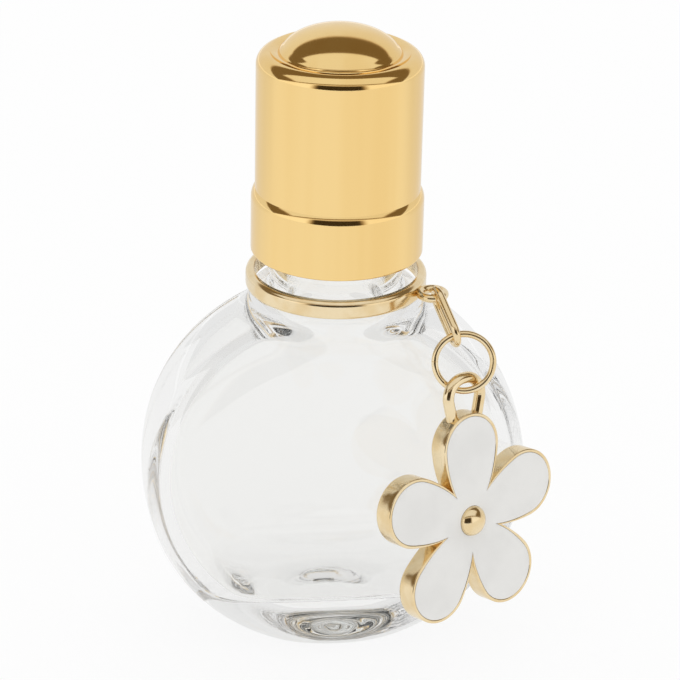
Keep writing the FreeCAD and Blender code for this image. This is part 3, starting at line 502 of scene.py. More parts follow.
class Socket:
    """A shader output that can be used in sums: each operation adds a Math node."""

    def __init__(self, nodes, output):
        self.nodes = nodes
        self.output = output

    def sum(self, operation, *values):
        """What a Math node makes of the values."""
        return self.nodes.add("ShaderNodeMath", {"operation": operation}, values)

    def size(self):
        """The value without its sign."""
        return self.sum("ABSOLUTE", self)

    __add__, __radd__ = sum_of("ADD"), sum_of("ADD", swapped=True)
    __sub__, __rsub__ = sum_of("SUBTRACT"), sum_of("SUBTRACT", swapped=True)
    __mul__, __rmul__ = sum_of("MULTIPLY"), sum_of("MULTIPLY", swapped=True)
    __truediv__ = sum_of("DIVIDE")
    or_more, or_less = sum_of("MAXIMUM"), sum_of("MINIMUM")
    angle_from = sum_of("ARCTAN2")

    def climb(self, first, last):
        """0 before first, 1 after last and an S-shaped climb between."""
        return self.nodes.add("ShaderNodeMapRange", {"interpolation_type": "SMOOTHSTEP"},
                              {"Value": self, "From Min": first, "From Max": last})

    def within(self, first, last, soft):
        """1 between first and last, with a soft edge at both."""
        return self.climb(first - soft, first + soft) * (1 - self.climb(last - soft, last + soft))


class Nodes:
    """A node tree that is filled by expressions."""

    def __init__(self, tree):
        self.tree = tree
        tree.nodes.clear()

    def add(self, kind, settings=None, inputs=(), output=0):
        """A node with its settings, then the values or links of its sockets, by name or in order."""
        node = self.tree.nodes.new(kind)
        for key, value in (settings or {}).items():
            setattr(node, key, value)
        pairs = inputs.items() if isinstance(inputs, dict) else enumerate(inputs)
        for key, value in pairs:
            if isinstance(value, Socket):
                self.tree.links.new(value.output, node.inputs[key])
            else:
                node.inputs[key].default_value = value
        return Socket(self, node.outputs[output]) if node.outputs else None

    def parts(self, vector):
        """The three numbers of a vector."""
        split = self.add("ShaderNodeSeparateXYZ", inputs=[vector])
        return [Socket(self, output) for output in split.output.node.outputs]

    def blend(self, mask, first, last):
        """One colour where the mask is 0 and another where it is 1."""
        first, last = [tone if isinstance(tone, Socket) else solid(tone) for tone in (first, last)]
        factor, colour_a, colour_b, result = 0, 6, 7, 2
        values = {factor: mask, colour_a: first, colour_b: last}
        return self.add("ShaderNodeMix", {"data_type": "RGBA"}, values, result)

    def cloud(self, vector, scale, detail=2.0, stretch=(1, 1, 1)):
        """Soft noise from 0 to 1, stretched along the axes."""
        spread = self.add("ShaderNodeVectorMath", {"operation": "MULTIPLY"}, [vector, stretch])
        return self.add("ShaderNodeTexNoise", inputs={"Vector": spread, "Scale": scale, "Detail": detail})

    def bump(self, height, strength, distance):
        """A surface tilted by the slopes of a height."""
        return self.add("ShaderNodeBump",
                        inputs={"Height": height, "Strength": strength, "Distance": distance})


def finish_of(name, fill):
    """A material whose surface shader takes the sockets that fill gives for its coordinates."""
    material = bpy.data.materials.new(name)
    material.use_nodes = True
    nodes = Nodes(material.node_tree)
    place = nodes.add("ShaderNodeTexCoord", output="Object")
    surface = nodes.add("ShaderNodeBsdfPrincipled", inputs=fill(nodes, place))
    nodes.add("ShaderNodeOutputMaterial", inputs={"Surface": surface})
    return material


def solid(light):
    """A colour with its opacity, which is full."""
    return (*light, 1.0)


def clear_glass(tint):
    """Clear moulded glass: slow waves in the surface and the faintest wipe marks."""
    def fill(nodes, place):
        waves = nodes.cloud(place, 130, 1.0)
        wipes = nodes.cloud(place, 420, 3.0, (1, 1, 0.25))
        return {"Base Color": solid(tint), "IOR": 1.5, "Transmission Weight": 1.0,
                "Roughness": wipes.climb(0.45, 0.8) * 0.025,
                "Normal": nodes.bump(waves, 0.12, 0.4 * MM)}
    return finish_of("clear_glass_finish", fill)


def bright_gold(light, deep):
    """Gold-lacquered drawn cap: long faint drawing bands up the wall and a fine polish."""
    def fill(nodes, place):
        bands = nodes.cloud(place, 300, 2.0, (1, 1, 0.02))
        polish = nodes.cloud(place, 2600, 2.0, (1, 1, 0.06))
        return {"Base Color": nodes.blend(bands.climb(0.35, 0.7), light, deep), "Metallic": 1.0,
                "Roughness": 0.07 + bands * 0.05,
                "Normal": nodes.bump(bands * 0.8 + polish * 0.2, 0.05, 0.1 * MM)}
    return finish_of("cap_gold_finish", fill)


def pale_gold(name, finishes, lines):
    """Plated casting: soft polishing waves, and where asked fine lines round the Z axis."""
    def fill(nodes, place):
        clouds = nodes.cloud(place, 500, 2.0)
        grain = nodes.cloud(place, 3800, 2.0)
        height = clouds * 0.7 + grain * 0.3
        if lines:
            strokes = nodes.cloud(place, 900, 2.0, (0.12, 0.12, 5))
            height = height * 0.4 + strokes * 0.6
        tone = nodes.blend(clouds.climb(0.3, 0.75), finishes.pale_gold, finishes.pale_gold_deep)
        return {"Base Color": tone, "Metallic": 1.0,
                "Roughness": 0.1 + clouds * 0.08, "Normal": nodes.bump(height, 0.1, 0.08 * MM)}
    return finish_of(name, fill)


def white_enamel(light, deep):
    """Fired enamel: glossy, with faint clouds and the slow waves of a surface that has flowed."""
    def fill(nodes, place):
        clouds = nodes.cloud(place, 260, 2.0)
        flow = nodes.cloud(place, 420, 1.0)
        return {"Base Color": nodes.blend(clouds.climb(0.35, 0.7), light, deep), "IOR": 1.5,
                "Roughness": 0.16 + clouds * 0.06, "Normal": nodes.bump(flow, 0.06, 0.2 * MM)}
    return finish_of("white_enamel_finish", fill)


def moulded_plastic(name, light, deep, rough, painted_glow_below=None):
    """Moulded plastic: cloudy flow marks and a fine matt skin. Below a height, where one is given, it has a
    painted glow in its own colour, which stands in for the light that would reach it inside the glass."""
    def fill(nodes, place):
        flow = nodes.cloud(place, 240, 3.0, (1, 1, 0.4))
        skin = nodes.cloud(place, 5200, 2.0)
        sockets = {"Base Color": nodes.blend(flow.climb(0.3, 0.75), light, deep), "IOR": 1.49,
                   "Roughness": rough + flow * 0.12, "Normal": nodes.bump(skin, 0.08, 0.05 * MM)}
        if painted_glow_below is not None:
            # painted glow: below the height the plastic glows in its own colour, in place of light reaching
            # it inside the glass; above it there is no glow
            over = nodes.parts(place)[2].climb(painted_glow_below - MM, painted_glow_below)
            sockets["Emission Color"] = nodes.blend(over, light, BLACK)
            sockets["Emission Strength"] = PAINTED_GLOW_STRENGTH
        return sockets
    return finish_of(name, fill)


def polished_steel(light, deep):
    """Ball steel: mirror polish with the faintest rolling marks."""
    def fill(nodes, place):
        marks = nodes.cloud(place, 700, 3.0, (0.2, 1, 1))
        return {"Base Color": nodes.blend(marks.climb(0.4, 0.7), light, deep), "Metallic": 1.0,
                "Roughness": 0.06 + marks * 0.06, "Normal": nodes.bump(marks, 0.03, 0.05 * MM)}
    return finish_of("ball_steel_finish", fill)


# The bottle


def helix_ridge(turn, level, sizes, start):
    """A thread's height: a rounded bump about a line that climbs one pitch a turn and fades out at both
    ends."""
    laps = (level - start) / sizes.thread_pitch - turn / (2 * math.pi)
    lap = np.round(laps)
    off = (laps - lap) * sizes.thread_pitch / sizes.thread_width
    along = lap + turn / (2 * math.pi)
    end, crest = sizes.thread_turns, 0.35
    fade = smooth_step(along, 0, THREAD_FADE) * (1 - smooth_step(along, end - THREAD_FADE, end))
    return fade * (1 - smooth_step(np.abs(off), crest, 1))


def glass_grid(sizes, columns=180):
    """The glass as one closed sheet: up the outside from the foot, over the mouth and down the inside.
    Both sides are found along rays from the pebble's middle, and the neck's side along level rays from its
    axis."""
    middle = sizes.body_radius - sizes.base_cut
    mouth, seat = sizes.height - middle, sizes.seat_top - middle
    bore = sizes.neck_radius - sizes.neck_wall
    dimple = (sizes.push_up_radius ** 2 + sizes.push_up_depth ** 2) / (2 * sizes.push_up_depth)

    def pebble(x, y, z, wall_side, wall_face):
        """Distance to a flat round. Its section is a face arc and a side arc, moved in by the walls and
        joined by an edge arc whose centre lies on both arcs moved in by its radius."""
        side, face = sizes.side_crown - wall_side, sizes.face_crown - wall_face
        edge = sizes.edge_radius - wall_face
        side_middle = sizes.body_radius - sizes.side_crown
        face_middle = sizes.body_depth / 2 - sizes.face_crown
        apart = math.hypot(side_middle, face_middle)
        along = ((side - edge) ** 2 - (face - edge) ** 2 + apart ** 2) / (2 * apart)
        beside = math.sqrt((side - edge) ** 2 - along ** 2)
        way = np.array([-side_middle, face_middle]) / apart
        corner = np.array([side_middle, 0]) + along * way + beside * np.array([-way[1], way[0]])
        out, deep = np.hypot(x, z), np.abs(y)
        off_out, off_deep = out - corner[0], deep - corner[1]
        past_side = off_deep * (corner[0] - side_middle) > off_out * corner[1]
        past_face = off_out * (corner[1] - face_middle) > off_deep * corner[0]
        from_side = np.hypot(out - side_middle, deep) - side
        from_face = np.hypot(out, deep - face_middle) - face
        from_edge = np.hypot(off_out, off_deep) - edge
        return np.where(past_side & past_face, from_edge, np.maximum(from_side, from_face))

    def post(x, y, z, radius, top, edge):
        """Distance to an upright post from the pebble's middle to a top with a rounded edge."""
        across, over = np.hypot(x, y) - radius + edge, z - top + edge
        past_edge = np.hypot(np.maximum(across, 0), np.maximum(over, 0))
        out = past_edge + np.minimum(np.maximum(across, over), 0) - edge
        return np.maximum(out, -z)

    def outside(x, y, z):
        """Pebble, cut by the table and a ball under it, that flows into a collar and a threaded neck."""
        ridge = helix_ridge(np.arctan2(y, x) % (2 * math.pi), z + middle, sizes, sizes.thread_start)
        body = pebble(x, y, z, 0, 0)
        body = smooth_max(body, -z - middle, sizes.base_blend)
        push_up = dimple - np.sqrt(x ** 2 + y ** 2 + (z + middle + dimple - sizes.push_up_depth) ** 2)
        body = smooth_max(body, push_up, sizes.base_blend / 2)
        body = smooth_min(body, post(x, y, z, sizes.seat_radius, seat, sizes.seat_edge), sizes.seat_blend)
        neck = post(x, y, z, sizes.neck_radius + ridge * sizes.thread_height, mouth, sizes.neck_lip)
        return smooth_min(body, neck, sizes.neck_blend)

    def inside(x, y, z):
        """Smaller pebble that flows into the bore and is cut by a flat floor."""
        room = pebble(x, y, z, sizes.wall_side, sizes.wall_face)
        room = smooth_min(room, np.hypot(x, y) - bore + 0 * z, sizes.bore_blend)
        return smooth_max(room, -z - middle + sizes.floor, sizes.floor_blend)

    def sheet(distance, heights, slants):
        """Rows of points where rays leave a shape, from a height on the axis at a slant from upright."""
        turn = np.linspace(0, 2 * math.pi, columns, endpoint=False)[None, :]
        slant = slants[:, None]
        level = np.sin(slant)
        way = np.stack([level * np.cos(turn), level * np.sin(turn), np.cos(slant) + 0 * turn], -1)
        start = np.zeros((len(heights), 1, 3))
        start[:, 0, 2] = heights
        return rays_out(distance, start, way, 2 * sizes.height)

    rim = math.atan2(bore, mouth)
    side_top, side_foot = mouth - sizes.neck_lip - 0.1 * MM, seat + sizes.neck_blend + 0.4 * MM
    lip = math.atan2(sizes.neck_radius, side_top + 0.05 * MM)
    collar = math.atan2(sizes.neck_radius, side_foot - 0.15 * MM)
    foot, flank = math.radians(155), math.radians(32)
    neck_rows = 104
    slants = [np.linspace(math.pi, foot, 48, endpoint=False), np.linspace(foot, flank, 112, endpoint=False),
              np.linspace(flank, collar, 56), np.full(neck_rows, math.pi / 2), np.linspace(lip, rim, 16)]
    heights = [np.zeros(len(part)) for part in slants]
    heights[3] = np.linspace(side_foot, side_top, neck_rows)
    outer = sheet(outside, np.concatenate(heights), np.concatenate(slants))
    steps = [rim, *np.radians([17, 35, 125, 180])]
    slants = np.concatenate([np.linspace(first, last, count)[1:]
                             for first, last, count in zip(steps, steps[1:], (40, 44, 60, 44))])
    inner = sheet(inside, np.zeros(len(slants)), slants)
    return np.concatenate([outer, inner]) + np.array([0, 0, middle])


def shell_profile(sizes):
    """The cap's section: dome, valley, rim, upper wall, step and band outside, then the same sheet
    inside."""
    upper = sizes.radius - sizes.step
    crest = sizes.top - sizes.dome_rise
    rim_middle, rim_level = upper - sizes.rim_radius, crest - sizes.rim_radius
    wrap = sizes.rim_wrap
    groove_level = rim_level + sizes.rim_radius * math.cos(wrap)
    dome_radius, dome_level = upper - sizes.rim_width, crest - sizes.dome_sink
    dome_height = sizes.top - dome_level
    reach = rim_middle * (1 - np.linspace(1, 0, 110) ** 1.6)
    dome = dome_level + dome_height * np.sqrt(np.maximum(1 - (reach / dome_radius) ** 2, 0))
    rim = rim_level + np.sqrt(np.maximum(sizes.rim_radius ** 2 - (reach - rim_middle) ** 2, 0))
    band_top = sizes.foot + sizes.band_height
    curve = (sizes.step ** 2 + sizes.shoulder ** 2) / (2 * sizes.step)
    tip = math.degrees(math.asin(sizes.shoulder / curve))
    bore, upper_bore = sizes.radius - sizes.wall, upper - sizes.wall
    bend_wall = 1.3 * sizes.wall
    roof = groove_level - bend_wall
    slope = 1.8 * sizes.wall
    outside = [
        np.stack([reach, smooth_max(dome, rim, sizes.valley)], -1),
        arc(rim_middle, rim_level, sizes.rim_radius, sizes.rim_radius, 90, 0, 26),
        arc(sizes.radius - curve, band_top, curve, curve, tip, 0, 14),
    ]
    lip = rounded([(sizes.radius, band_top, 0), (sizes.radius, sizes.foot, sizes.lip),
                   (bore, sizes.foot, sizes.lip), (bore, band_top, 0)], steps=5)
    inside = [
        lip,
        np.array([(bore, band_top), (upper_bore, band_top + sizes.shoulder / 2), (upper_bore, roof - slope),
                  (upper_bore - slope, roof)]),
        arc(0, dome_level, dome_radius - bend_wall, dome_height - sizes.wall, 0, 90, 20),
    ]
    profile = refined(np.concatenate(outside + inside), 0.6 * MM)
    profile[[0, -1], 0] = 0
    return profile


def liner_profile(sizes):
    """The liner's section: stepped outside that follows the cap, closed top, ledge and threaded bore."""
    outer = sizes.radius - sizes.wall - sizes.liner_gap
    upper = outer - sizes.step
    bore = outer - sizes.liner_wall
    step = sizes.foot + sizes.band_height - 0.1 * MM
    room_top = sizes.liner_top - sizes.liner_roof
    corner = 0.25 * MM
    line = rounded([
        (0, sizes.liner_top, 0), (upper, sizes.liner_top, corner),
        (upper, step + sizes.shoulder / 2, corner), (outer, step, corner),
        (outer, sizes.liner_foot, corner / 2), (bore, sizes.liner_foot, corner),
        (bore, sizes.seal, corner / 2), (sizes.liner_room, sizes.seal, corner),
        (sizes.liner_room, room_top, corner), (0, room_top, 0)], steps=5)
    return refined(line, 0.18 * MM)


def housing_profile(sizes):
    """The housing's section: ribbed plug, flange, head and lip outside, ball socket and feed hole
    inside."""
    corner, groove = 0.2 * MM, 0.9 * MM
    flange_top = sizes.flange_foot + sizes.flange_height
    socket = sizes.ball_radius + sizes.ball_gap
    lip_angle = math.degrees(math.asin((sizes.lip_level - corner - sizes.ball_centre) / socket))
    feed_angle = -math.degrees(math.acos(sizes.feed_radius / socket))
    inner = sizes.plug_radius - sizes.rib_depth
    rib_feet = np.linspace(sizes.plug_foot + 2 * sizes.plug_lead, sizes.flange_foot - sizes.plug_lead, 4)
    ribs = [(radius, rib + lift, sizes.rib_depth / 3) for rib in rib_feet[:-1]
            for radius, lift in ((sizes.plug_radius, 0), (inner, sizes.rib_depth), (inner, groove),
                                 (sizes.plug_radius, groove + sizes.rib_depth))]
    outside = rounded([
        (sizes.feed_radius, sizes.plug_foot, corner),
        (sizes.plug_radius - sizes.plug_taper, sizes.plug_foot, corner),
        (sizes.plug_radius, sizes.plug_foot + sizes.plug_lead, corner), *ribs,
        (sizes.plug_radius, sizes.flange_foot, 0), (sizes.flange_radius, sizes.flange_foot, corner),
        (sizes.flange_radius, flange_top, corner), (sizes.head_radius, flange_top, corner / 2),
        (sizes.lip_radius, sizes.lip_level, corner),
        (socket * math.cos(math.radians(lip_angle)), sizes.lip_level, corner / 3)], steps=5)
    bowl = arc(0, sizes.ball_centre, socket, socket, lip_angle, feed_angle, 40)
    line = np.concatenate([outside, bowl, outside[:1]])
    return refined(line, 0.5 * MM)[:-1]


def band_profile(sizes):
    """The neck ring's section: a flat inside and an upright outside with rounder edges."""
    outer = sizes.bore + sizes.thickness
    line = rounded([(sizes.bore, sizes.bottom, sizes.inner_edge), (outer, sizes.bottom, sizes.lower_edge),
                    (outer, sizes.top, sizes.upper_edge), (sizes.bore, sizes.top, sizes.inner_edge)],
                   closed=True, steps=12)
    return refined(np.concatenate([line, line[:1]]), 0.3 * MM)[:-1]


def flower_outline(sizes, radius, notch, side, side_points=18, end_points=44):
    """A closed flower line. A petal has a round end and two bowed sides, arcs that start at its notches
    and touch the round end; it is repeated round the middle."""
    half = math.pi / sizes.petals
    end = np.array([0, sizes.petal_centre])
    corner = notch * np.array([math.sin(half), math.cos(half)])
    drop = corner - end
    reach = np.linalg.norm(drop)
    opening = (2 * side * radius - radius ** 2 - reach ** 2) / (2 * (side - radius) * reach)
    touch = math.atan2(drop[1], drop[0]) + math.acos(opening)
    bow = end - (side - radius) * np.array([math.cos(touch), math.sin(touch)])
    start = math.atan2(*(corner - bow)[::-1])
    flank = arc(*bow, side, side, math.degrees(start), math.degrees(touch), side_points)
    tip = arc(*end, radius, radius, math.degrees(touch), 180 - math.degrees(touch), end_points)
    petal = np.concatenate([flank[:-1], tip, flank[1:-1][::-1] * np.array([-1, 1])])
    turn = 2 * half * np.arange(sizes.petals)[:, None]
    x, y = petal[:, 0], petal[:, 1]
    sine, cosine = np.sin(turn), np.cos(turn)
    return np.stack([x * cosine - y * sine, x * sine + y * cosine], -1).reshape(-1, 2)


def stacked(lines, levels):
    """Rows of a grid from lines in the plane, each at its own height."""
    return np.stack([flat(line, level) for line, level in zip(lines, levels)])


def casting_grid(sizes, outer, inner):
    """The flower's metal: a closed sheet over the back, the outer wall, the rim, the inner wall and the
    recess floor. Each row is a mix of the outer and the inner line, or one of them shrunk to the
    middle."""
    quarter = np.radians(np.linspace(0, 90, 7))
    round_in, flat_in = 0.45, 0.3
    floor = sizes.thickness - sizes.enamel_depth
    mixes = np.concatenate([round_in * (1 - np.sin(quarter)), [0, 0], flat_in * (1 - np.cos(quarter)), [0.5],
                            1 - flat_in * (1 - np.sin(quarter)), [1, 1]])
    wall = np.linspace(sizes.back_edge, sizes.thickness - sizes.rim_edge, 4)[1:3]
    levels = np.concatenate([
        sizes.back_edge * (1 - np.cos(quarter)), wall,
        sizes.thickness - sizes.rim_edge * (1 - np.sin(quarter)), [sizes.thickness],
        sizes.thickness - sizes.rim_edge * (1 - np.cos(quarter)), [floor + 0.2 * sizes.enamel_depth, floor]])
    lines = [outer + mix * (inner - outer) for mix in mixes]
    lines = [0 * outer, 0.6 * lines[0]] + lines + [0.6 * inner, 0 * inner]
    levels = np.concatenate([[0, 0], levels, [floor, floor]])
    return stacked(lines, levels)


def enamel_grid(sizes, outline):
    """The enamel: a closed sheet from the bead's hole out under, up at the petals' line and back over the
    top. The top climbs a little at the rim and at the bead, as enamel does."""
    turn = np.arctan2(outline[:, 1], outline[:, 0])
    hole = (sizes.bead_radius + sizes.fit) * np.stack([np.cos(turn), np.sin(turn)], -1)
    under = sizes.thickness - sizes.enamel_depth + sizes.fit
    over = sizes.thickness - sizes.enamel_dip
    mixes = np.concatenate([[0, 0.008, 0.02, 0.04], np.linspace(0.07, 0.93, 14), [0.97, 0.99, 1]])
    climbs = np.exp(-mixes / 0.03) + np.exp(-(1 - mixes) / 0.03)
    lines = [hole, outline] + [outline + mix * (hole - outline) for mix in mixes]
    return stacked(lines, np.concatenate([[under, under], over + sizes.enamel_climb * climbs]))


def bead_profile(sizes):
    """The bead's section: a short post with a round top."""
    foot = sizes.thickness - sizes.enamel_depth - 0.2 * MM
    post = np.array([(0, foot), (sizes.bead_radius, foot), (sizes.bead_radius, sizes.thickness)])
    cap = arc(0, sizes.thickness, sizes.bead_radius, sizes.bead_rise, 0, 90, 20)
    line = refined(np.concatenate([post, cap[1:]]), 0.4 * MM)
    line[-1, 0] = 0
    return line


def bail_path(sizes):
    """The bail's middle line: up one leg, over the bar and down the other, with round corners."""
    bar = sizes.petal_centre + sizes.petal_radius + sizes.bail_rise
    foot = sizes.petal_centre + sizes.petal_radius - sizes.bail_root
    foot_half = sizes.bail_half_width - sizes.bail_taper
    corner_half = foot_half + sizes.bail_taper * (bar - foot) / (bar - sizes.bail_corner - foot)
    corners = [(foot_half, foot, 0), (corner_half, bar, sizes.bail_corner),
               (-corner_half, bar, sizes.bail_corner), (-foot_half, foot, 0)]
    return refined(rounded(corners, steps=14), 0.3 * MM)


def facing(turn, lean):
    """Right and up of something that faces a way and leans back."""
    out = np.array([math.cos(turn) * math.cos(lean), math.sin(turn) * math.cos(lean), math.sin(lean)])
    right = np.array([-math.sin(turn), math.cos(turn), 0])
    return right, np.cross(out, right)


class MakeGlass(Operator):
    """Make the glass body with its neck"""
    bl_idname = "bottle.make_glass"
    bl_label = "Glass body"

    def execute(self, context):
        sizes, finishes = context.scene.bottle_glass, context.scene.bottle_finishes
        make_piece("glass_body", [(glass_grid(sizes), False)], "bottle", "glass_bottle",
                   clear_glass(finishes.glass), crease=60)
        return {"FINISHED"}


class MakeRoller(Operator):
    """Make the ball and the housing that holds it in the neck"""
    bl_idname = "bottle.make_roller"
    bl_label = "Roller"

    def execute(self, context):
        sizes, finishes = context.scene.bottle_roller, context.scene.bottle_finishes
        # the plug below the flange foot gets a painted glow in the housing colour
        make_piece("ball_housing", [(turned(housing_profile(sizes), 144), True)], "bottle", "roller_housing",
                   moulded_plastic("housing_plastic_finish", finishes.housing, finishes.housing_deep, 0.3,
                                   sizes.flange_foot))
        ball = arc(0, sizes.ball_centre, sizes.ball_radius, sizes.ball_radius, -90, 90, 72)
        ball[[0, -1], 0] = 0
        make_piece("steel_ball", [(turned(ball, 144), False)], "ball", "roller_ball",
                   polished_steel(finishes.steel, finishes.steel_deep))
        return {"FINISHED"}


class MakeCap(Operator):
    """Make the gold cap and the threaded liner inside it"""
    bl_idname = "bottle.make_cap"
    bl_label = "Cap"

    def execute(self, context):
        sizes, glass = context.scene.bottle_cap, context.scene.bottle_glass
        finishes = context.scene.bottle_finishes
        make_piece("gold_cap", [(turned(shell_profile(sizes), 256), False)], "cap", "cap_shell",
                   bright_gold(finishes.cap_gold, finishes.cap_gold_deep))
        bore = sizes.radius - sizes.wall - sizes.liner_gap - sizes.liner_wall

        def thread(turn, level, radius):
            """The glass's thread half a pitch on, standing in from the bore below the ledge."""
            on_bore = (np.abs(radius - bore) < WELD) & (level < sizes.seal - 0.5 * MM)
            start = glass.thread_start + glass.thread_pitch / 2
            return np.where(on_bore, -sizes.thread_height * helix_ridge(turn, level, glass, start), 0)

        make_piece("cap_inner", [(turned(liner_profile(sizes), 160, thread), False)], "cap", "cap_liner",
                   moulded_plastic("liner_plastic_finish", finishes.liner, finishes.liner_deep, 0.4))
        return {"FINISHED"}


class MakeRing(Operator):
    """Make the loose neck ring with its eyelet"""
    bl_idname = "bottle.make_ring"
    bl_label = "Neck ring"

    def execute(self, context):
        sizes, finishes = context.scene.bottle_ring, context.scene.bottle_finishes
        reach = sizes.bore + sizes.thickness - sizes.eyelet_root + sizes.eyelet_radius + sizes.eyelet_wire
        centre = np.array([reach * math.cos(sizes.eyelet_turn), reach * math.sin(sizes.eyelet_turn),
                           (sizes.top + sizes.bottom) / 2])
        loop = flat(arc(0, 0, sizes.eyelet_radius, sizes.eyelet_radius, 0, 360, 96)[:-1]) + centre
        eyelet = wire(loop, sizes.eyelet_wire, 40, closed=True)
        band = turned(band_profile(sizes), 240)
        make_piece("ring_band", [(band, True), (eyelet, True)], "ring", "neck_ring",
                   pale_gold("ring_gold_finish", finishes, True))
        return {"FINISHED"}


class MakeChain(Operator):
    """Make the oval link and the jump ring"""
    bl_idname = "bottle.make_chain"
    bl_label = "Link and jump ring"

    def execute(self, context):
        sizes, finishes = context.scene.bottle_chain, context.scene.bottle_finishes
        finish = pale_gold("chain_gold_finish", finishes, False)
        upper, lower = pivot("link_swing"), pivot("jump_ring_swing")
        down = unit(lower - upper)
        span = np.linalg.norm(lower - upper)
        first, last = -sizes.link_upper_hold, span + sizes.link_lower_hold
        half, bend = sizes.link_half_width, sizes.link_half_width * 0.999
        corners = [(half, -first, bend), (-half, -first, bend), (-half, -last, bend), (half, -last, bend)]
        oval = rounded(corners, closed=True, steps=24)
        oval = refined(np.concatenate([oval, oval[:1]]), 0.3 * MM)[:-1]
        link = wire(flat(oval), sizes.link_wire, 36, closed=True)
        normal = -unit(axis_of("link_swing"))
        across = np.cross(normal, down)
        across = across * math.cos(sizes.link_twist) + np.cross(across, -down) * math.sin(sizes.link_twist)
        link = placed(link, upper, across, -down)
        make_piece("link_wire", [(link, True)], "link", "oval_link", finish)

        right = -unit(axis_of("charm_swing"))
        up = np.cross(unit(np.cross(right, -axis_of("jump_ring_swing"))), right)
        centre = pivot("charm_swing") + up * sizes.jump_radius
        slide, seam = math.degrees(sizes.charm_slide), math.degrees(sizes.jump_seam)
        circle = arc(0, 0, sizes.jump_radius, sizes.jump_radius, -slide, 360 - slide - seam, 180)
        spring = sizes.jump_spring * np.linspace(-1, 1, len(circle)) ** 9
        circle = np.concatenate([circle, spring[:, None]], 1)
        ring = wire(circle, sizes.jump_wire, 36, closed=False)
        make_piece("jump_ring_wire", [(placed(ring, centre, -right, -up), False)], "jump_ring", "jump_ring",
                   finish)
        return {"FINISHED"}


class MakeCharm(Operator):
    """Make the flower casting with its bail and bead, and the white enamel in it"""
    bl_idname = "bottle.make_charm"
    bl_label = "Flower charm"

    def execute(self, context):
        sizes, finishes = context.scene.bottle_charm, context.scene.bottle_finishes
        right, up = facing(sizes.turn, sizes.lean)
        x_way = right * math.cos(sizes.roll) + up * math.sin(sizes.roll)
        y_way = up * math.cos(sizes.roll) - right * math.sin(sizes.roll)
        bar = sizes.petal_centre + sizes.petal_radius + sizes.bail_rise
        spot = pivot("charm_swing") + y_way * (sizes.hold - bar) - np.cross(x_way, y_way) * sizes.bail_level
        outer = flower_outline(sizes, sizes.petal_radius, sizes.notch_radius, sizes.petal_side)
        recess_notch, recess_side = sizes.notch_radius - sizes.rim_notch, sizes.petal_side - sizes.rim_line
        inner = flower_outline(sizes, sizes.petal_radius - sizes.rim_line, recess_notch, recess_side)
        filled = flower_outline(sizes, sizes.petal_radius - sizes.rim_line - sizes.fit,
                                recess_notch - 2 * sizes.fit, recess_side - sizes.fit)
        bail = wire(flat(bail_path(sizes), sizes.bail_level), sizes.bail_wire, 36, closed=False)
        grids = (casting_grid(sizes, outer, inner), turned(bead_profile(sizes), 72), bail)
        metal = [(placed(grid, spot, x_way, y_way), False) for grid in grids]
        make_piece("flower_casting", metal, "charm", "flower_charm",
                   pale_gold("charm_gold_finish", finishes, False))
        enamel = placed(enamel_grid(sizes, filled), spot, x_way, y_way)
        make_piece("enamel_petals", [(enamel, True)], "charm", "flower_enamel",
                   white_enamel(finishes.enamel, finishes.enamel_deep))
        return {"FINISHED"}


# The stage: climbs and side angles in degrees, the softbox's ends as a share of the way to the side

CLOTH_CLIMB = (-14, 33)
CLOTH_END = (28, 42)
CEILING_CLIMB = (38, 138)
SOFTBOX_CLIMB = (45, 97)
SOFTBOX_END = (0.8, 0.88)
BACK_START = (134, 142)
ROOM_EDGE = 5
SOFTBOX_EDGE = 2
FLOOR_BEHIND = (-10 * MM, 100 * MM)


def set_camera(settings):
    """A camera to the left of the front, looking down a little, with its picture square to a named tilt."""
    turn, pitch, roll = settings.camera_turn, settings.camera_pitch, settings.camera_roll
    spot = np.array([-math.sin(turn) * settings.camera_distance, -math.cos(turn) * settings.camera_distance,
                     settings.camera_height])
    heading = turn + settings.camera_yaw
    right = np.array([math.cos(heading), -math.sin(heading), 0])
    ahead = np.array([math.sin(heading), math.cos(heading), -math.tan(pitch)]) * math.cos(pitch)
    up = np.cross(right, ahead)
    tilted_right = right * math.cos(roll) + up * math.sin(roll)
    tilted_up = up * math.cos(roll) - right * math.sin(roll)
    lens = bpy.data.cameras.new("photo_camera")
    lens.lens = settings.lens
    lens.sensor_width = 36
    lens.clip_start, lens.clip_end = 0.01, 10
    camera = bpy.data.objects.new("photo_camera", lens)
    matrix = np.eye(4)
    matrix[:3, :3] = np.stack([tilted_right, tilted_up, -ahead], 1)
    matrix[:3, 3] = spot
    camera.matrix_world = Matrix(matrix.tolist())
    bpy.context.scene.collection.objects.link(camera)
    bpy.context.scene.camera = camera


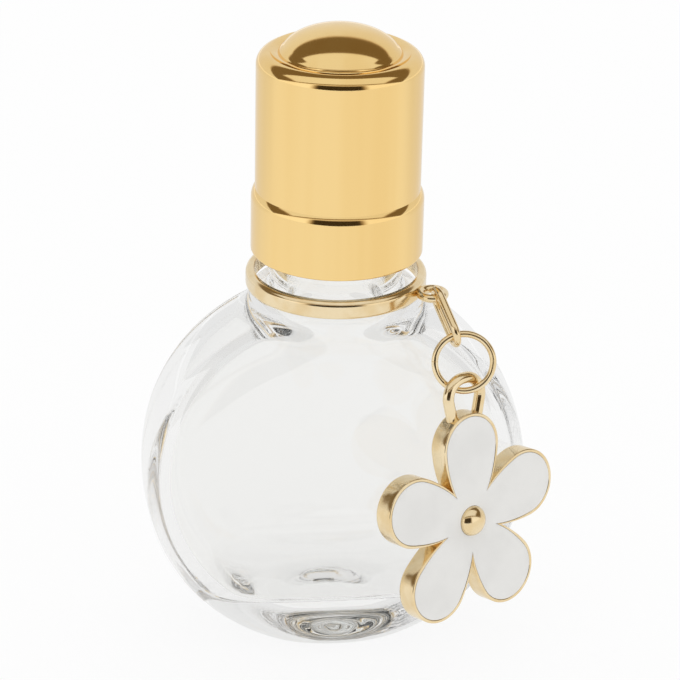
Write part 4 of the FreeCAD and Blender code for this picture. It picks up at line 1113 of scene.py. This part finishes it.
def set_floor(settings):
    """A white floor: part of its white is its own where it is seen, and the rest carries the shadow."""
    size = settings.floor_size
    corners = [(-size, -size, -settings.floor_drop), (size, -size, -settings.floor_drop),
               (size, size, -settings.floor_drop), (-size, size, -settings.floor_drop)]
    mesh = bpy.data.meshes.new("floor")
    mesh.from_pydata(corners, [], [(0, 1, 2, 3)])
    material = bpy.data.materials.new("floor_white")
    material.use_nodes = True
    nodes = Nodes(material.node_tree)
    straight, mirrored, through = light_paths(nodes)
    glow_share = straight * settings.floor_glow
    glow_share = glow_share + mirrored * (settings.floor_mirrored - glow_share)
    glow_share = glow_share + through * (settings.floor_in_glass - glow_share)
    paint = nodes.add("ShaderNodeBsdfDiffuse", inputs={"Color": solid([settings.floor_paint] * 3)})
    x, y, _ = nodes.parts(nodes.add("ShaderNodeTexCoord", output="Object"))
    behind = x * math.sin(settings.camera_turn) + y * math.cos(settings.camera_turn)
    far = behind.climb(*FLOOR_BEHIND)
    white = nodes.blend(mirrored * far, WHITE, [settings.floor_behind] * 3)
    white = nodes.blend(through, white, [settings.floor_dimmed] * 3)
    glow = nodes.add("ShaderNodeEmission", inputs={"Color": white, "Strength": 1.0})
    mixed = nodes.add("ShaderNodeMixShader", inputs=[glow_share, paint, glow])
    nodes.add("ShaderNodeOutputMaterial", inputs={"Surface": mixed})
    mesh.materials.append(material)
    floor = bpy.data.objects.new("floor", mesh)
    bpy.context.scene.collection.objects.link(floor)


def light_paths(nodes):
    """1 for what the camera sees straight, mirrored and through glass, one after the other.
    What a matt surface gathers is none of them."""
    names = ("Is Camera Ray", "Is Glossy Ray", "Is Transmission Ray", "Diffuse Depth")
    straight, mirrored, through, gathered = [nodes.add("ShaderNodeLightPath", output=name) for name in names]
    seen = 1 - gathered.or_less(1)
    return straight, mirrored * seen, through * seen


def set_room(settings):
    """A white room with a softbox under a dim ceiling, a paler wall behind and a dark cloth round the
    camera. A way is measured by its climb from the front level over the top to the back, and by its side
    angle."""
    world = bpy.data.worlds.new("white_room")
    world.use_nodes = True
    nodes = Nodes(world.node_tree)
    x, y, z = nodes.parts(nodes.add("ShaderNodeTexCoord", output="Generated"))
    turn = settings.camera_turn
    front = x * -math.sin(turn) - y * math.cos(turn)
    side = x * math.cos(turn) - y * math.sin(turn)
    degree = math.pi / 180
    climb = z.angle_from(front) / degree
    sideways = side.angle_from(front).size() / degree
    cloth = climb.within(*CLOTH_CLIMB, ROOM_EDGE) * (1 - sideways.climb(*CLOTH_END))
    ceiling = climb.within(*CEILING_CLIMB, ROOM_EDGE)
    softbox = climb.within(*SOFTBOX_CLIMB, SOFTBOX_EDGE) * (1 - side.size().climb(*SOFTBOX_END))
    back = climb.climb(*BACK_START)
    strength = settings.room_light + back * (settings.back_light - settings.room_light)
    strength = strength + ceiling * (1 - back) * (settings.ceiling_light - settings.room_light)
    strength = strength + softbox * (settings.box_light - strength)
    strength = strength + cloth * (settings.cloth_light - strength)
    straight, mirrored, through = light_paths(nodes)
    in_glass = strength.or_more(settings.glass_low).or_less(settings.glass_high)
    strength = strength + through * (in_glass - strength)
    strength = settings.plain_light + mirrored.or_more(through) * (strength - settings.plain_light)
    shaded = (ceiling * (1 - back) * (1 - softbox)).or_more(cloth) * mirrored * (1 - through)
    tone = nodes.blend(shaded, WHITE, settings.shade)
    light = nodes.add("ShaderNodeBackground", inputs={"Color": tone, "Strength": strength})
    white = nodes.add("ShaderNodeBackground", inputs={"Color": solid(WHITE), "Strength": 1.0})
    mixed = nodes.add("ShaderNodeMixShader", inputs=[straight, light, white])
    nodes.add("ShaderNodeOutputWorld", inputs={"Surface": mixed})
    bpy.context.scene.world = world


class MakeStage(Operator):
    """Make the camera, the floor and the light"""
    bl_idname = "bottle.make_stage"
    bl_label = "Stage"

    def execute(self, context):
        settings = context.scene.bottle_stage
        set_camera(settings)
        set_floor(settings)
        set_room(settings)
        context.scene.view_settings.view_transform = "Standard"
        for limit in ("max_bounces", "diffuse_bounces", "glossy_bounces", "transmission_bounces"):
            setattr(context.scene.cycles, limit, BOUNCES)
        return {"FINISHED"}


class BottlePanel(Panel):
    """The bottle's pieces and their settings"""
    bl_idname = "VIEW3D_PT_bottle"
    bl_label = "Roll-on bottle"
    bl_space_type = "VIEW_3D"
    bl_region_type = "UI"
    bl_category = "Bottle"

    def draw(self, context):
        for maker in MAKERS:
            self.layout.operator(maker.bl_idname)
        for name in GROUPS:
            box = self.layout.box()
            group = getattr(context.scene, name)
            for key in group.__annotations__:
                box.prop(group, key)


GROUPS = {
    "bottle_glass": GlassSizes,
    "bottle_cap": CapSizes,
    "bottle_roller": RollerSizes,
    "bottle_ring": RingSizes,
    "bottle_chain": ChainSizes,
    "bottle_charm": CharmSizes,
    "bottle_finishes": Finishes,
    "bottle_stage": StageSettings,
}
MAKERS = (MakeGlass, MakeRoller, MakeCap, MakeRing, MakeChain, MakeCharm, MakeStage)


def register():
    for group in GROUPS.values():
        bpy.utils.register_class(group)
    for maker in MAKERS:
        bpy.utils.register_class(maker)
    bpy.utils.register_class(BottlePanel)
    for name, group in GROUPS.items():
        setattr(bpy.types.Scene, name, PointerProperty(type=group))


def unregister():
    for name in GROUPS:
        delattr(bpy.types.Scene, name)
    bpy.utils.unregister_class(BottlePanel)
    for maker in MAKERS:
        bpy.utils.unregister_class(maker)
    for group in GROUPS.values():
        bpy.utils.unregister_class(group)


def main():
    """Makes every piece and the stage."""
    register()
    bpy.ops.bottle.make_glass()
    bpy.ops.bottle.make_roller()
    bpy.ops.bottle.make_cap()
    bpy.ops.bottle.make_ring()
    bpy.ops.bottle.make_chain()
    bpy.ops.bottle.make_charm()
    bpy.ops.bottle.make_stage()
    bpy.context.view_layer.update()


if __name__ == "__main__":
    main()
